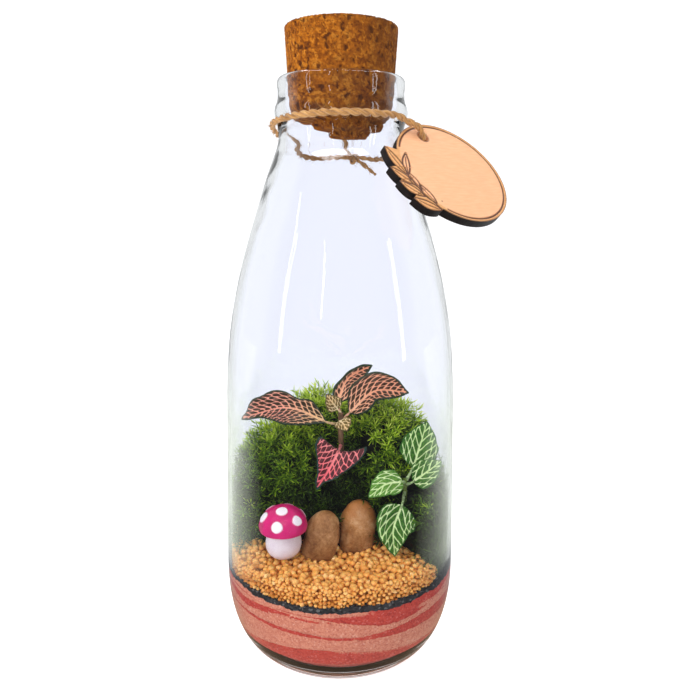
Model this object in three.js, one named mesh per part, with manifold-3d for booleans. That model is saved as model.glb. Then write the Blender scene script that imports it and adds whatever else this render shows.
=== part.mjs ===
// Glass plant terrarium: a corked bottle with layered sand, gravel, moss, stones and two small nerve plants.
// Millimetres, +Z up. The origin is the middle of the flat underside, on the bottle's axis. -Y is the front.

import * as THREE from 'three';
import { mergeVertices } from 'three/addons/utils/BufferGeometryUtils.js';
import Module from 'manifold-3d';

const wasm = await Module();
wasm.setup();

// ---- Driving dimensions ----

const gap = 0.3; // between pieces that touch

const bottle = {
  sides: 36,
  lipHeight: 231,
  floorThickness: 9.5,
  wall: 2.1,
  footRadius: 28.2,
  innerFootRadius: 34.2,
  heelHeight: 37,
  heelRadius: 47.4,
  heelPower: 2.3,
  mouthRadius: 20.9,
  finishRadius: 23.9,
  lipRound: 2.6,
};

// Outer radius of the body, shoulder, neck groove and ring at each height, above the heel
const bodyProfile = [
  [58.6, 47.0], [86.5, 46.3], [113.3, 45.5], [132.7, 44.0], [148.0, 41.4], [160.0, 38.6],
  [171.0, 35.4], [181.0, 32.2], [188.5, 29.9], [194.4, 27.9], [199.3, 26.1], [203.0, 24.6],
  [207.0, 23.7], [212.0, 24.0], [216.6, 25.1], [220.0, 23.9],
];

// The same wall's inner radius, up to the mouth's straight bore; the wall is thicker at the neck
const boreProfile = [
  [58.6, 44.9], [86.5, 44.2], [113.3, 43.3], [132.7, 41.7], [148.0, 39.0], [160.0, 36.1],
  [171.0, 32.8], [181.0, 29.5], [188.5, 27.0], [194.4, 24.9], [199.3, 23.0], [203.0, 21.4],
];

const cork = {
  sides: 32,
  bottom: 206,
  top: 247,
  bottomRadius: 18.8,
  topRadius: 21.1,
  topEdge: 0.7,
  bottomEdge: 2.2,
};

const twine = { radius: 1.3, sides: 8, steps: 46, tailSteps: 5 };

const tag = {
  radius: 23.2,
  sprigRadius: 27,
  notchRadius: 25.2,
  thickness: 3.2,
  hole: { across: -4.9, up: 16.6, radius: 2.3, sides: 12 },
  centre: [40.2, -18.6, 195.1],
  facing: [0.427, -0.611, 0.667],
};

const sand = { blackTop: 40.0, sides: bottle.sides };

const gravel = { sides: 64, rings: 10, rimHeight: 46.3, middleHeight: 48.0, grain: 1.1 };

const moss = { shoots: 315, shootWidth: 0.75, shootLength: 5.2, rootDepth: 1.8, detail: 7 };

const blade = {
  thickness: 0.75,
  stalkThickness: 1.3,
  stalkHalfWidth: 0.7,
  heartLobe: 4.5, // how far a heart leaf's two shoulders reach back past its stalk
  rows: 8,
  columns: 6,
};

// ---- Small helpers ----

const vector = ([x, y, z]) => new THREE.Vector3(x, y, z);

const degrees = (angle) => angle * Math.PI / 180;

// A repeatable random sequence from 0 to 1
function seededRandom(seed) {
  let state = seed;
  return () => {
    state = (state + 0x6d2b79f5) | 0;
    let mixed = Math.imul(state ^ (state >>> 15), 1 | state);
    mixed = (mixed + Math.imul(mixed ^ (mixed >>> 7), 61 | mixed)) ^ mixed;
    return ((mixed ^ (mixed >>> 14)) >>> 0) / 4294967296;
  };
}

// Straight-line reading of a table of [height, radius] pairs
function readProfile(table, height) {
  if (height <= table[0][0]) {
    return table[0][1];
  }
  for (let i = 1; i < table.length; i += 1) {
    const [lowHeight, lowRadius] = table[i - 1];
    const [highHeight, highRadius] = table[i];
    if (height <= highHeight) {
      return lowRadius + (highRadius - lowRadius) * (height - lowHeight) / (highHeight - lowHeight);
    }
  }
  return table[table.length - 1][1];
}

// Positions only, shared corners merged, so that the surface is closed
function weld(geometry) {
  const plain = geometry.clone();
  plain.deleteAttribute('normal');
  plain.deleteAttribute('uv');
  return mergeVertices(plain, 1e-4);
}

function toSolid(geometry) {
  const welded = weld(geometry);
  return new wasm.Manifold(new wasm.Mesh({
    numProp: 3,
    vertProperties: new Float32Array(welded.attributes.position.array),
    triVerts: new Uint32Array(welded.index.array),
  }));
}

function toGeometry(solid) {
  const mesh = solid.getMesh();
  const geometry = new THREE.BufferGeometry();
  geometry.setAttribute('position', new THREE.BufferAttribute(mesh.vertProperties, 3));
  geometry.setIndex(new THREE.BufferAttribute(mesh.triVerts, 1));
  return geometry;
}

// A solid turned about the vertical axis from a profile of [radius, height] pairs
function turned(profile, sides) {
  const points = profile.map(([radius, height]) => new THREE.Vector2(radius, height));
  return new THREE.LatheGeometry(points, sides).rotateX(Math.PI / 2);
}

function circlePoints(radius, sides, x = 0, y = 0) {
  const angles = Array.from({ length: sides }, (_, i) => 2 * Math.PI * i / sides);
  return angles.map((angle) => new THREE.Vector2(x + radius * Math.cos(angle), y + radius * Math.sin(angle)));
}

// A round rod along a smooth line through the points, with flat ends
function rod(points, radius, sides, steps) {
  const section = new THREE.Shape(circlePoints(radius, sides));
  const line = new THREE.CatmullRomCurve3(points.map(vector));
  return new THREE.ExtrudeGeometry(section, { steps, extrudePath: line, bevelEnabled: false });
}

// ---- Bottle ----

// Quarter of a superellipse from the foot's edge up to the full body
function heelPoints(footRadius, footHeight, fullRadius, fullHeight, count) {
  const points = [];
  for (let i = 0; i <= count; i += 1) {
    const angle = Math.PI / 2 * i / count;
    const out = Math.sin(angle) ** (2 / bottle.heelPower);
    const up = 1 - Math.cos(angle) ** (2 / bottle.heelPower);
    points.push([
      footRadius + (fullRadius - footRadius) * out,
      footHeight + (fullHeight - footHeight) * up,
    ]);
  }
  return points;
}

const outerHeel = heelPoints(bottle.footRadius, 0, bottle.heelRadius, bottle.heelHeight, 7);
const innerHeel = heelPoints(
  bottle.innerFootRadius,
  bottle.floorThickness,
  bottle.heelRadius - bottle.wall,
  bottle.heelHeight,
  7,
);

const innerWall = [...innerHeel.map(([radius, height]) => [height, radius]), ...boreProfile];

// Clear radius inside the bottle for what fills it; the wall's flat facets take a little of it
const facetLoss = 0.15;
const roomAt = (height) => readProfile(innerWall, height) - gap - facetLoss;

function glassBottle() {
  const { lipHeight, lipRound, finishRadius, mouthRadius, floorThickness, sides } = bottle;
  const lip = [];
  for (let i = 0; i <= 3; i += 1) {
    const angle = Math.PI / 2 * i / 3;
    lip.push([
      finishRadius - lipRound + lipRound * Math.cos(angle),
      lipHeight - lipRound + lipRound * Math.sin(angle),
    ]);
  }
  const profile = [
    [0, 0],
    ...outerHeel,
    ...bodyProfile.map(([height, radius]) => [radius, height]),
    ...lip,
    [mouthRadius, lipHeight - lipRound / 4],
    ...boreProfile.map(([height, radius]) => [radius, height]).reverse(),
    ...[...innerHeel].reverse(),
    [0, floorThickness],
  ];
  return turned(profile, sides);
}

function corkStopper() {
  const { bottom, top, bottomRadius, topRadius, topEdge, bottomEdge, sides } = cork;
  return turned([
    [0, bottom],
    [bottomRadius - bottomEdge, bottom],
    [bottomRadius, bottom + bottomEdge],
    [topRadius, top - topEdge],
    [topRadius - topEdge, top],
    [0, top],
  ], sides);
}

// ---- Tag and twine ----

const tagFacing = vector(tag.facing).normalize();
const tagAcross = new THREE.Vector3(0, 0, 1).cross(tagFacing).normalize();
const tagUp = tagFacing.clone().cross(tagAcross);
const tagPlace = new THREE.Matrix4().makeBasis(tagAcross, tagUp, tagFacing).setPosition(...tag.centre);

// A round face whose left edge is the outline of a sprig of leaves
function tagOutline() {
  const outline = new THREE.Shape();
  const at = (radius, angle) => [radius * Math.cos(degrees(angle)), radius * Math.sin(degrees(angle))];
  outline.moveTo(...at(tag.radius, 148));
  for (let angle = 138; angle > -125; angle -= 10) {
    outline.lineTo(...at(tag.radius, angle));
  }
  outline.lineTo(...at(tag.radius, -130));
  // Each leaf of the sprig ends in a small barb; the angles are the barbs' places round the edge
  for (const barb of [-153, -170, 176.5, 155]) {
    outline.lineTo(...at(tag.sprigRadius - 0.6, barb + 7));
    outline.lineTo(...at(tag.sprigRadius, barb));
    outline.lineTo(...at(tag.notchRadius, barb + 3.5));
  }
  return outline;
}

function woodTag() {
  const outline = tagOutline();
  const { across, up, radius } = tag.hole;
  outline.holes.push(new THREE.Path(circlePoints(radius, tag.hole.sides, across, up)));
  const geometry = new THREE.ExtrudeGeometry(outline, { depth: tag.thickness, bevelEnabled: false });
  return geometry.translate(0, 0, -tag.thickness).applyMatrix4(tagPlace);
}

const onTag = (across, up, out) => new THREE.Vector3(across, up, out).applyMatrix4(tagPlace).toArray();

// A point beside the neck: angle from the front towards the right, height, and distance off the glass
function besideNeck(angle, height, off = 0) {
  const outer = readProfile(bodyProfile, height);
  const radius = outer + twine.radius + gap + 0.1 + off;
  return [radius * Math.sin(degrees(angle)), -radius * Math.cos(degrees(angle)), height];
}

// Once round the neck and through the tag's hole, from the knot at the back and back to it
const twineRoute = [
  besideNeck(172, 203.4, 1.2),
  besideNeck(-170, 203.7, 0.3),
  besideNeck(-150, 203.6),
  besideNeck(-130, 205.0),
  besideNeck(-112, 208.6, 0.1),
  besideNeck(-92, 211.2, 0.3),
  besideNeck(-70, 212.6, 0.2),
  besideNeck(-45, 213.4, 0.2),
  besideNeck(-20, 214.0, 0.2),
  besideNeck(5, 214.3, 0.2),
  besideNeck(30, 214.2, 0.3),
  besideNeck(50, 213.9, 0.7),
  onTag(-12.6, 21.0, 2.9),
  onTag(-7.8, 18.5, 2.6),
  onTag(tag.hole.across + 0.3, tag.hole.up - 0.1, -1.0),
  onTag(tag.hole.across + 0.3, tag.hole.up - 0.3, -5.4),
  besideNeck(97, 204.4, 0.8),
  besideNeck(120, 203.2),
  besideNeck(145, 202.9),
  besideNeck(165, 203.4, 1.2),
];

function twineCollar() {
  const knotCentre = vector(besideNeck(169, 203.4, 1.4));
  const knot = new THREE.IcosahedronGeometry(1, 2).scale(3.4, 2.6, 3);
  knot.rotateZ(degrees(-11)).translate(...knotCentre.toArray());
  const upperTail = rod([
    knotCentre.toArray(),
    besideNeck(176, 207.4, 1.4),
    besideNeck(-176, 210.6, 1.6),
  ], twine.radius, twine.sides, twine.tailSteps);
  const lowerTail = rod([
    knotCentre.toArray(),
    besideNeck(158, 200.2, 1.2),
    besideNeck(148, 196.6, 0.9),
  ], twine.radius, twine.sides, twine.tailSteps);
  const loop = rod(twineRoute, twine.radius, twine.sides, twine.steps);
  return toGeometry(toSolid(loop).add(toSolid(knot)).add(toSolid(upperTail)).add(toSolid(lowerTail)));
}

// ---- Sand ----

// Angle of a point round the axis, from the front towards the right, in degrees from -180 to 180
const roundAngle = (x, y) => Math.atan2(x, -y) * 180 / Math.PI;

// A dip in a layer's surface, centred on an angle
const dip = (angle, centre, width) => Math.exp(-(((angle - centre) / width) ** 2));

const wave = (angle, turns, start) => Math.sin(degrees(angle * turns + start));

// The surfaces between the poured layers where they meet the glass, lowest first
const sandSurfaces = [
  () => bottle.floorThickness,
  (angle) => 16 + 4.8 * dip(angle, -6, 36),
  (angle) => 25.6 - 1.6 * wave(angle, 1, 0),
  (angle) => 28.7 + wave(angle, 1, 0) - 2.2 * dip(angle, 6, 26) + 0.8 * dip(angle, 150, 50),
  (angle) => 35 - 5 * dip(angle, 27, 26),
  (angle) => 36.6 + 0.25 * wave(angle, 6, 50) + 0.2 * wave(angle, 11, 0),
  () => sand.blackTop,
];

// One layer: its faces run straight from the surface's mean height at the middle to its height at the glass
function sandLayer(index) {
  const lower = sandSurfaces[index];
  const upper = sandSurfaces[index + 1];
  const mean = (surface) => (surface(0) + surface(120) + surface(-120)) / 3;
  const rimRings = index === 0 ? 5 : 1;
  const profile = [[0, 0]];
  for (let ring = 0; ring <= rimRings; ring += 1) {
    profile.push([1, ring / rimRings]);
  }
  profile.push([0, 1]);
  const geometry = weld(turned(profile, sand.sides));
  const position = geometry.attributes.position;
  for (let i = 0; i < position.count; i += 1) {
    const [x, y, share] = [position.getX(i), position.getY(i), position.getZ(i)];
    const atRim = Math.hypot(x, y) > 0.5;
    const angle = roundAngle(x, y);
    const bottom = (atRim ? lower(angle) : mean(lower)) + gap;
    const top = atRim ? upper(angle) : mean(upper);
    const height = bottom + (top - bottom) * share;
    const radius = roomAt(height);
    position.setXYZ(i, x * radius, y * radius, height);
  }
  return geometry;
}

// ---- Gravel, soil and moss ----

const fillFloor = sand.blackTop + gap;

// A round-sided mass seen from a middle point: the furthest of its lobes in each direction, held
// inside the glass and above the sand. Growing it by an amount gives the space it needs.
function lobedMass({ middle, lobes, detail, grow = 0, roughness = 0, bounded = true, floor = fillFloor }) {
  const geometry = weld(new THREE.IcosahedronGeometry(1, detail));
  const position = geometry.attributes.position;
  const start = vector(middle);
  const direction = new THREE.Vector3();
  const point = new THREE.Vector3();
  const fits = (reach) => {
    point.copy(start).addScaledVector(direction, reach);
    return point.z >= floor - 1e-6 && Math.hypot(point.x, point.y) <= roomAt(point.z);
  };
  for (let i = 0; i < position.count; i += 1) {
    direction.fromBufferAttribute(position, i).normalize();
    let reach = Math.max(...lobes.map((lobe) => lobeReach(start, direction, lobe)));
    const lump = Math.sin(direction.x * 9 + direction.y * 5) * Math.cos(direction.z * 8 - direction.x * 4);
    reach += roughness * lump + grow;
    if (bounded && !fits(reach)) {
      let low = 0;
      let high = reach;
      for (let step = 0; step < 24; step += 1) {
        const half = (low + high) / 2;
        if (fits(half)) {
          low = half;
        } else {
          high = half;
        }
      }
      reach = low;
    }
    point.copy(start).addScaledVector(direction, reach);
    position.setXYZ(i, point.x, point.y, point.z);
  }
  return geometry;
}

// Distance from a point to the far side of an ellipsoid in a direction, or zero where it is missed
function lobeReach(start, direction, [cx, cy, cz, rx, ry, rz]) {
  const from = new THREE.Vector3((start.x - cx) / rx, (start.y - cy) / ry, (start.z - cz) / rz);
  const along = new THREE.Vector3(direction.x / rx, direction.y / ry, direction.z / rz);
  const a = along.dot(along);
  const b = from.dot(along);
  const c = from.dot(from) - 1;
  const inside = b * b - a * c;
  return inside > 0 ? Math.max((Math.sqrt(inside) - b) / a, 0) : 0;
}

const soilShape = {
  middle: [0, 18, 52],
  lobes: [[0, 20, 46, 33, 21, 25]],
};

const mossShape = {
  middle: [2, 14, 60],
  lobes: [
    [-23, 12, 62, 22, 21, 26],
    [-9, 22, 68, 22, 19, 31],
    [19, 14, 68, 21, 19, 32],
    [40, -12.5, 53, 8.2, 20, 19],
    [33, 0, 56, 10, 13, 21],
    [-38, -3, 58, 9, 13, 19],
    [0, 20, 52, 50, 33, 17],
  ],
  roughness: 1,
};

function pottingSoil() {
  return lobedMass({ ...soilShape, detail: 4 });
}

// Three-sided shoots, each with its root sunk in the cushion, thrown evenly over the open surface
function mossShoots(core, blocked) {
  const random = seededRandom(11);
  const position = core.attributes.position;
  const index = core.index;
  const corners = [new THREE.Vector3(), new THREE.Vector3(), new THREE.Vector3()];
  const faces = [];
  let area = 0;
  for (let i = 0; i < index.count; i += 3) {
    corners.forEach((corner, k) => corner.fromBufferAttribute(position, index.getX(i + k)));
    const normal = new THREE.Triangle(...corners).getNormal(new THREE.Vector3());
    const centre = corners[0].clone().add(corners[1]).add(corners[2]).divideScalar(3);
    const pressed = Math.hypot(centre.x, centre.y) > roomAt(centre.z) - 1.5;
    if (normal.z > -0.35 && centre.z > fillFloor + 5 && !pressed) {
      area += new THREE.Triangle(...corners).getArea();
      faces.push({ until: area, corners: corners.map((corner) => corner.clone()), normal });
    }
  }
  const shoots = [];
  const spacing = area / moss.shoots;
  let face = 0;
  for (let shoot = 0; shoot < moss.shoots; shoot += 1) {
    const target = (shoot + random()) * spacing;
    while (faces[face].until < target && face < faces.length - 1) {
      face += 1;
    }
    const [first, second, third] = faces[face].corners;
    const share = Math.sqrt(random());
    const slide = random();
    const foot = first.clone().multiplyScalar(1 - share)
      .addScaledVector(second, share * (1 - slide))
      .addScaledVector(third, share * slide);
    const lean = new THREE.Vector3(random() - 0.5, random() - 0.5, random() - 0.2);
    const direction = faces[face].normal.clone().addScaledVector(lean, 0.9).normalize();
    const length = moss.shootLength * (0.7 + 0.6 * random());
    const tip = foot.clone().addScaledVector(direction, length);
    const clear = Math.hypot(tip.x, tip.y) < roomAt(tip.z) - 0.8 && tip.z > gravel.middleHeight + 3;
    if (clear && !blocked(tip) && !blocked(foot)) {
      shoots.push(shootSpike(foot, direction, length));
    }
  }
  return shoots;
}

function shootSpike(foot, direction, length) {
  const spike = new THREE.ConeGeometry(moss.shootWidth, length + moss.rootDepth, 3);
  spike.translate(0, (length - moss.rootDepth) / 2, 0);
  spike.applyQuaternion(new THREE.Quaternion().setFromUnitVectors(new THREE.Vector3(0, 1, 0), direction));
  return spike.translate(foot.x, foot.y, foot.z);
}

// The piece that holds together, without any scrap that a cut has left
function largestPiece(solid) {
  const pieces = solid.decompose();
  return pieces.reduce((best, piece) => (piece.volume() > best.volume() ? piece : best));
}

function mossCushion(holes, blocked) {
  const core = lobedMass({ ...mossShape, detail: moss.detail });
  const soilRoom = lobedMass({ ...soilShape, detail: 4, grow: gap + 0.1, bounded: false });
  let cushion = toSolid(core);
  const shoots = mossShoots(core, blocked).map(toSolid);
  cushion = wasm.Manifold.union([cushion, ...shoots]);
  cushion = cushion.subtract(toSolid(soilRoom));
  for (const hole of holes) {
    cushion = cushion.subtract(toSolid(hole));
  }
  return toGeometry(largestPiece(cushion));
}

// A bed with a grain-high relief, cut back where the moss stands and dented under what rests on it
function gravelBed(cuts) {
  const random = seededRandom(5);
  const profile = [[0, 0], [1, 0]];
  for (let ring = gravel.rings; ring >= 0; ring -= 1) {
    profile.push([ring / gravel.rings, 1]);
  }
  const geometry = weld(turned(profile, gravel.sides));
  const position = geometry.attributes.position;
  for (let i = 0; i < position.count; i += 1) {
    const [x, y, level] = [position.getX(i), position.getY(i), position.getZ(i)];
    const out = Math.hypot(x, y);
    let height = fillFloor;
    if (level > 0.5) {
      height = gravel.middleHeight + (gravel.rimHeight - gravel.middleHeight) * out ** 4;
      height += gravel.grain * (random() - 0.5) * (out > 0.99 ? 1.2 : 2);
    }
    const radius = roomAt(height);
    position.setXYZ(i, x * radius, y * radius, height);
  }
  let bed = toSolid(geometry);
  for (const cut of cuts) {
    bed = bed.subtract(toSolid(cut));
  }
  return toGeometry(largestPiece(bed));
}

// ---- Stones and mushroom ----

const stones = {
  stone_left: { centre: [-7.0, -17.5, 55.0], radii: [7.2, 6.0, 10.2], lean: 8, taper: 0.06, seed: 1 },
  stone_right: { centre: [7.3, -12.2, 55.8], radii: [7.9, 6.2, 10.8], lean: 2, taper: 0.1, seed: 4 },
};

function stoneShape({ centre, radii, lean, taper, seed }, grow = 0) {
  const geometry = weld(new THREE.IcosahedronGeometry(1, 3));
  const position = geometry.attributes.position;
  for (let i = 0; i < position.count; i += 1) {
    const [x, y, z] = [position.getX(i), position.getY(i), position.getZ(i)];
    const swell = 1 + 0.035 * Math.sin(3 * x + seed) * Math.cos(2.5 * z - seed);
    const width = swell * (1 - taper * z);
    position.setXYZ(
      i,
      x * width * radii[0] + x * grow,
      y * width * radii[1] + y * grow,
      z * swell * radii[2] + z * grow,
    );
  }
  return geometry.rotateY(degrees(lean)).translate(...centre);
}

const mushroom = {
  place: [-21.6, -24.2],
  foot: 47.2,
  stemRadius: 6.9,
  stemTop: 60.8,
  capRadius: 9.4,
  capRim: 59.4,
  capTop: 69.3,
  sides: 20,
};

function mushroomStem(grow = 0) {
  const { place, foot, stemRadius, stemTop, sides } = mushroom;
  return turned([
    [0, foot - grow],
    [stemRadius - 1.6 + grow, foot - grow],
    [stemRadius - 0.4 + grow, foot + 1.2],
    [stemRadius + grow, foot + 3.8],
    [stemRadius - 0.5 + grow, foot + 7],
    [stemRadius - 1.5 + grow, stemTop],
    [0, stemTop],
  ], sides).translate(...place, 0);
}

function mushroomCap() {
  const { place, capRadius, capRim, capTop, stemTop, sides } = mushroom;
  const shoulder = capRim + 1.6;
  const dome = [];
  for (let i = 0; i <= 6; i += 1) {
    const angle = Math.PI / 2 * i / 6;
    dome.push([capRadius * Math.cos(angle), shoulder + (capTop - shoulder) * Math.sin(angle) ** 0.9]);
  }
  dome[6][0] = 0;
  return turned([
    [0, stemTop + gap],
    [capRadius - 2.8, stemTop + gap],
    [capRadius - 1.1, capRim],
    [capRadius - 0.2, capRim + 0.4],
    ...dome,
  ], sides).translate(...place, 0);
}

// ---- Plants ----

const pinkStem = { line: [[1.2, 1, 56], [0.8, -2.4, 76], [0.3, -4.6, 90], [0.2, -5, 101]], radius: 1.2 };
const whiteStem = { line: [[27, -8.5, 50], [26.4, -10.6, 62], [26, -12, 75.4]], radius: 0.9 };

// Each leaf: the height where its stalk leaves the stem, or the stem's top, then the blade's base, middle and tip along
// the midrib. The face is the way its upper side looks. A heart leaf is broadest near its base.
const pinkLeaves = [
  { from: 96.2, base: [-5, -6.4, 97.2], mid: [-21.5, -5, 103.4], tip: [-38.4, -8, 99.6],
    width: 20, face: [0, -0.5, 0.86] },
  { from: 100, base: [-0.9, 0, 104.6], mid: [2.8, 7.6, 112], tip: [13.2, 11, 117.4],
    width: 14, face: [-0.3, -0.78, 0.55] },
  { from: 98.4, base: [4.2, -5, 101.4], mid: [14.2, -4.4, 110.4], tip: [26.6, -8.5, 111],
    width: 18.5, face: [-0.2, -0.62, 0.76] },
  { from: 'top', base: [-0.1, -6.6, 103], mid: [-2.2, -8, 106], tip: [-4.6, -8, 109.6],
    width: 6, face: [0.1, -0.9, 0.4] },
  { from: 97, base: [-0.4, -8.6, 98.4], mid: [0.9, -10.8, 98.2], tip: [2.8, -13.2, 96],
    width: 7.5, face: [-0.2, -0.4, 0.9] },
  { from: 87.4, base: [-0.5, -9.8, 88.8], mid: [-3.6, -14.4, 82.2], tip: [-9.6, -16.6, 73],
    width: 20, face: [0.3, -0.8, 0.5], heart: true },
].map((spec) => ({ ...spec, stem: pinkStem }));

const whiteLeaves = [
  { from: 74.6, base: [27.8, -10.8, 78.2], mid: [31.2, -8.6, 88], tip: [33.6, -5.6, 97.8],
    width: 15, face: [-0.1, -0.95, 0.3] },
  { from: 73, base: [29.2, -14.4, 74.6], mid: [33.8, -16.4, 79.4], tip: [37.4, -16.4, 83.0],
    width: 9.5, face: [-0.4, -0.72, 0.55] },
  { from: 74, base: [23, -14, 76.4], mid: [17.6, -16.2, 76.6], tip: [11.6, -17.6, 73.2],
    width: 12, face: [0, -0.6, 0.8] },
  { from: 69.6, base: [24.4, -17, 68.6], mid: [22.4, -21.2, 59.6], tip: [21.9, -24.2, 49.6],
    width: 14.6, face: [0.05, -0.95, 0.3] },
].map((spec) => ({ ...spec, stem: whiteStem }));

// The midrib's line, from beside the stem to the tip; the stalk's own thickness stays clear of the stem
function leafSpine({ stem, from, base, mid, tip, face }) {
  const blades = [base, mid, tip].map(vector);
  if (from === 'top') {
    const stemTop = vector(stem.line[stem.line.length - 1]);
    return new THREE.CatmullRomCurve3([stemTop.setZ(stemTop.z + gap + 0.1), ...blades]);
  }
  const line = new THREE.CatmullRomCurve3(stem.line.map(vector));
  const places = line.getSpacedPoints(60);
  const beside = places.reduce((best, point) => (
    Math.abs(point.z - from) < Math.abs(best.z - from) ? point : best
  ));
  const away = vector(base).sub(beside).setZ(0).normalize();
  const ahead = vector(base).sub(beside).normalize();
  const upper = vector(face).addScaledVector(ahead, -vector(face).dot(ahead)).normalize();
  const inward = blade.stalkThickness * Math.max(upper.dot(away), 0);
  const root = beside.clone().addScaledVector(away, stem.radius + gap + 0.05 + inward);
  return new THREE.CatmullRomCurve3([root, ...blades]);
}

// Half the blade's width from its base to its tip, as a share of the widest
function bladeShare(along, heart) {
  const peak = heart ? 0.52 : 0.74;
  return Math.sin(Math.PI * along ** peak) ** (heart ? 0.72 : 0.86);
}

// A thin folded blade with its stalk: the same net of points above and below
function leaf(spec) {
  const { base, width, face, heart = false } = spec;
  const spine = leafSpine(spec);
  const bladeFrom = spine.points[0].distanceTo(vector(base)) / spine.getLength();
  const stalkRows = 2;
  const rows = stalkRows + blade.rows;
  const look = vector(face).normalize();
  const points = [];
  for (const under of [0, 1]) {
    for (let row = 0; row <= rows; row += 1) {
      const onBlade = row >= stalkRows;
      const along = onBlade ? (row - stalkRows) / blade.rows : 0;
      const place = onBlade ? bladeFrom + (1 - bladeFrom) * along : bladeFrom * row / stalkRows;
      const centre = spine.getPointAt(place);
      const ahead = spine.getTangentAt(place);
      const side = ahead.clone().cross(look).normalize();
      const up = side.clone().cross(ahead).normalize();
      const narrow = onBlade && row > stalkRows ? 0.35 : blade.stalkHalfWidth;
      const half = Math.max(width / 2 * bladeShare(along, heart), narrow);
      const depth = onBlade && row > stalkRows ? blade.thickness : blade.stalkThickness;
      for (let column = 0; column <= blade.columns; column += 1) {
        const across = 2 * column / blade.columns - 1;
        const spread = Math.min(1, 8 * along * (1 - along));
        const fold = 0.13 * half * across ** 2 - 0.3 * (1 - Math.abs(across)) ** 2;
        const ripple = 0.35 * across ** 2 * Math.sin(9 * along * Math.PI + across);
        const lift = spread * (fold + ripple) - under * depth;
        const lobe = heart && row > stalkRows ? blade.heartLobe * across ** 2 * (1 - along) ** 2 : 0;
        points.push(
          centre.clone()
            .addScaledVector(side, across * half)
            .addScaledVector(up, lift)
            .addScaledVector(ahead, -lobe),
        );
      }
    }
  }
  return sheetSolid(points, rows, blade.columns);
}

// Closes two nets of points, the upper first, into one thin solid
function sheetSolid(points, rows, columns) {
  const line = columns + 1;
  const net = line * (rows + 1);
  const index = [];
  for (let row = 0; row < rows; row += 1) {
    for (let column = 0; column < columns; column += 1) {
      const a = row * line + column;
      const [b, c, d] = [a + 1, a + line, a + line + 1];
      index.push(a, b, d, a, d, c);
      index.push(net + a, net + d, net + b, net + a, net + c, net + d);
    }
  }
  const wall = (from, to) => index.push(from, to, net + to, from, net + to, net + from);
  for (let row = 0; row < rows; row += 1) {
    wall(row * line, (row + 1) * line);
    wall((row + 1) * line + columns, row * line + columns);
  }
  for (let column = 0; column < columns; column += 1) {
    wall(column + 1, column);
    wall(rows * line + column, rows * line + column + 1);
  }
  const geometry = new THREE.BufferGeometry().setFromPoints(points);
  geometry.setIndex(index);
  return geometry;
}

// ---- Assembly ----

const terrarium = new THREE.Group();
terrarium.name = 'glass_plant_terrarium';

function addPiece(name, geometry, color, roughness, metalness = 0) {
  const material = new THREE.MeshStandardMaterial({ color, roughness, metalness });
  const mesh = new THREE.Mesh(geometry, material);
  mesh.name = name;
  terrarium.add(mesh);
}

addPiece('glass_bottle', glassBottle(), 0xe6ecee, 0.05);
addPiece('cork_stopper', corkStopper(), 0xa8703a, 0.9);
addPiece('twine_collar', twineCollar(), 0xc08d4d, 0.95);
addPiece('wood_tag', woodTag(), 0xf0c491, 0.7);

const layers = [
  ['sand_red_base', 0xc94f4c],
  ['sand_pink_lower', 0xdf9384],
  ['sand_red_middle', 0xc7524f],
  ['sand_pink_upper', 0xe09a8b],
  ['sand_red_top', 0xc4504e],
  ['sand_black', 0x26241f],
];
layers.forEach(([name, color], index) => addPiece(name, sandLayer(index), color, 0.95));

const stemSides = 8;
const stemSolid = ({ line, radius }, grow = 0) => rod(line, radius + grow, stemSides, 9);

// What stands too close to a leaf for a shoot of moss to grow there
const leafPoints = [...pinkLeaves, ...whiteLeaves].flatMap((spec) => (
  leafSpine(spec).getSpacedPoints(8).map((point) => ({ point, reach: spec.width * 0.42 + 1 }))
));
const nearLeaf = (spot) => leafPoints.some(({ point, reach }) => point.distanceTo(spot) < reach);

const stemHoles = [stemSolid(pinkStem, gap + 0.1), stemSolid(whiteStem, gap + 0.1)];
const stoneRooms = Object.values(stones).map((stone) => stoneShape(stone, gap + 0.1));
const mushroomRoom = mushroomStem(gap + 0.1);
const mossRoom = lobedMass({ ...mossShape, detail: moss.detail, grow: gap + 0.1, bounded: false });

let soil = toSolid(pottingSoil());
for (const hole of stemHoles) {
  soil = soil.subtract(toSolid(hole));
}
addPiece('potting_soil', toGeometry(soil), 0x33261b, 1);
addPiece('gravel_bed', gravelBed([mossRoom, ...stoneRooms, mushroomRoom]), 0xd9a765, 0.9);
addPiece('moss_cushion', mossCushion([...stemHoles, ...stoneRooms], nearLeaf), 0x5f7f24, 0.95);

Object.entries(stones).forEach(([name, stone]) => addPiece(name, stoneShape(stone), 0x8f6a4c, 0.75));
addPiece('mushroom_stem', mushroomStem(), 0xf4f1ee, 0.4);
addPiece('mushroom_cap', mushroomCap(), 0xd81e7c, 0.35);

addPiece('pink_stem', stemSolid(pinkStem), 0x6d4b38, 0.8);
pinkLeaves.forEach((spec, i) => addPiece(`pink_leaf_${i + 1}`, leaf(spec), 0xb86a62, 0.5));
addPiece('white_stem', stemSolid(whiteStem), 0x7f8f4c, 0.8);
whiteLeaves.forEach((spec, i) => addPiece(`white_leaf_${i + 1}`, leaf(spec), 0x4f9a3a, 0.5));

export default terrarium;
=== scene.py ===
import math
import random

import bpy
import numpy as np
from mathutils import Matrix, Vector, kdtree, noise


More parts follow.
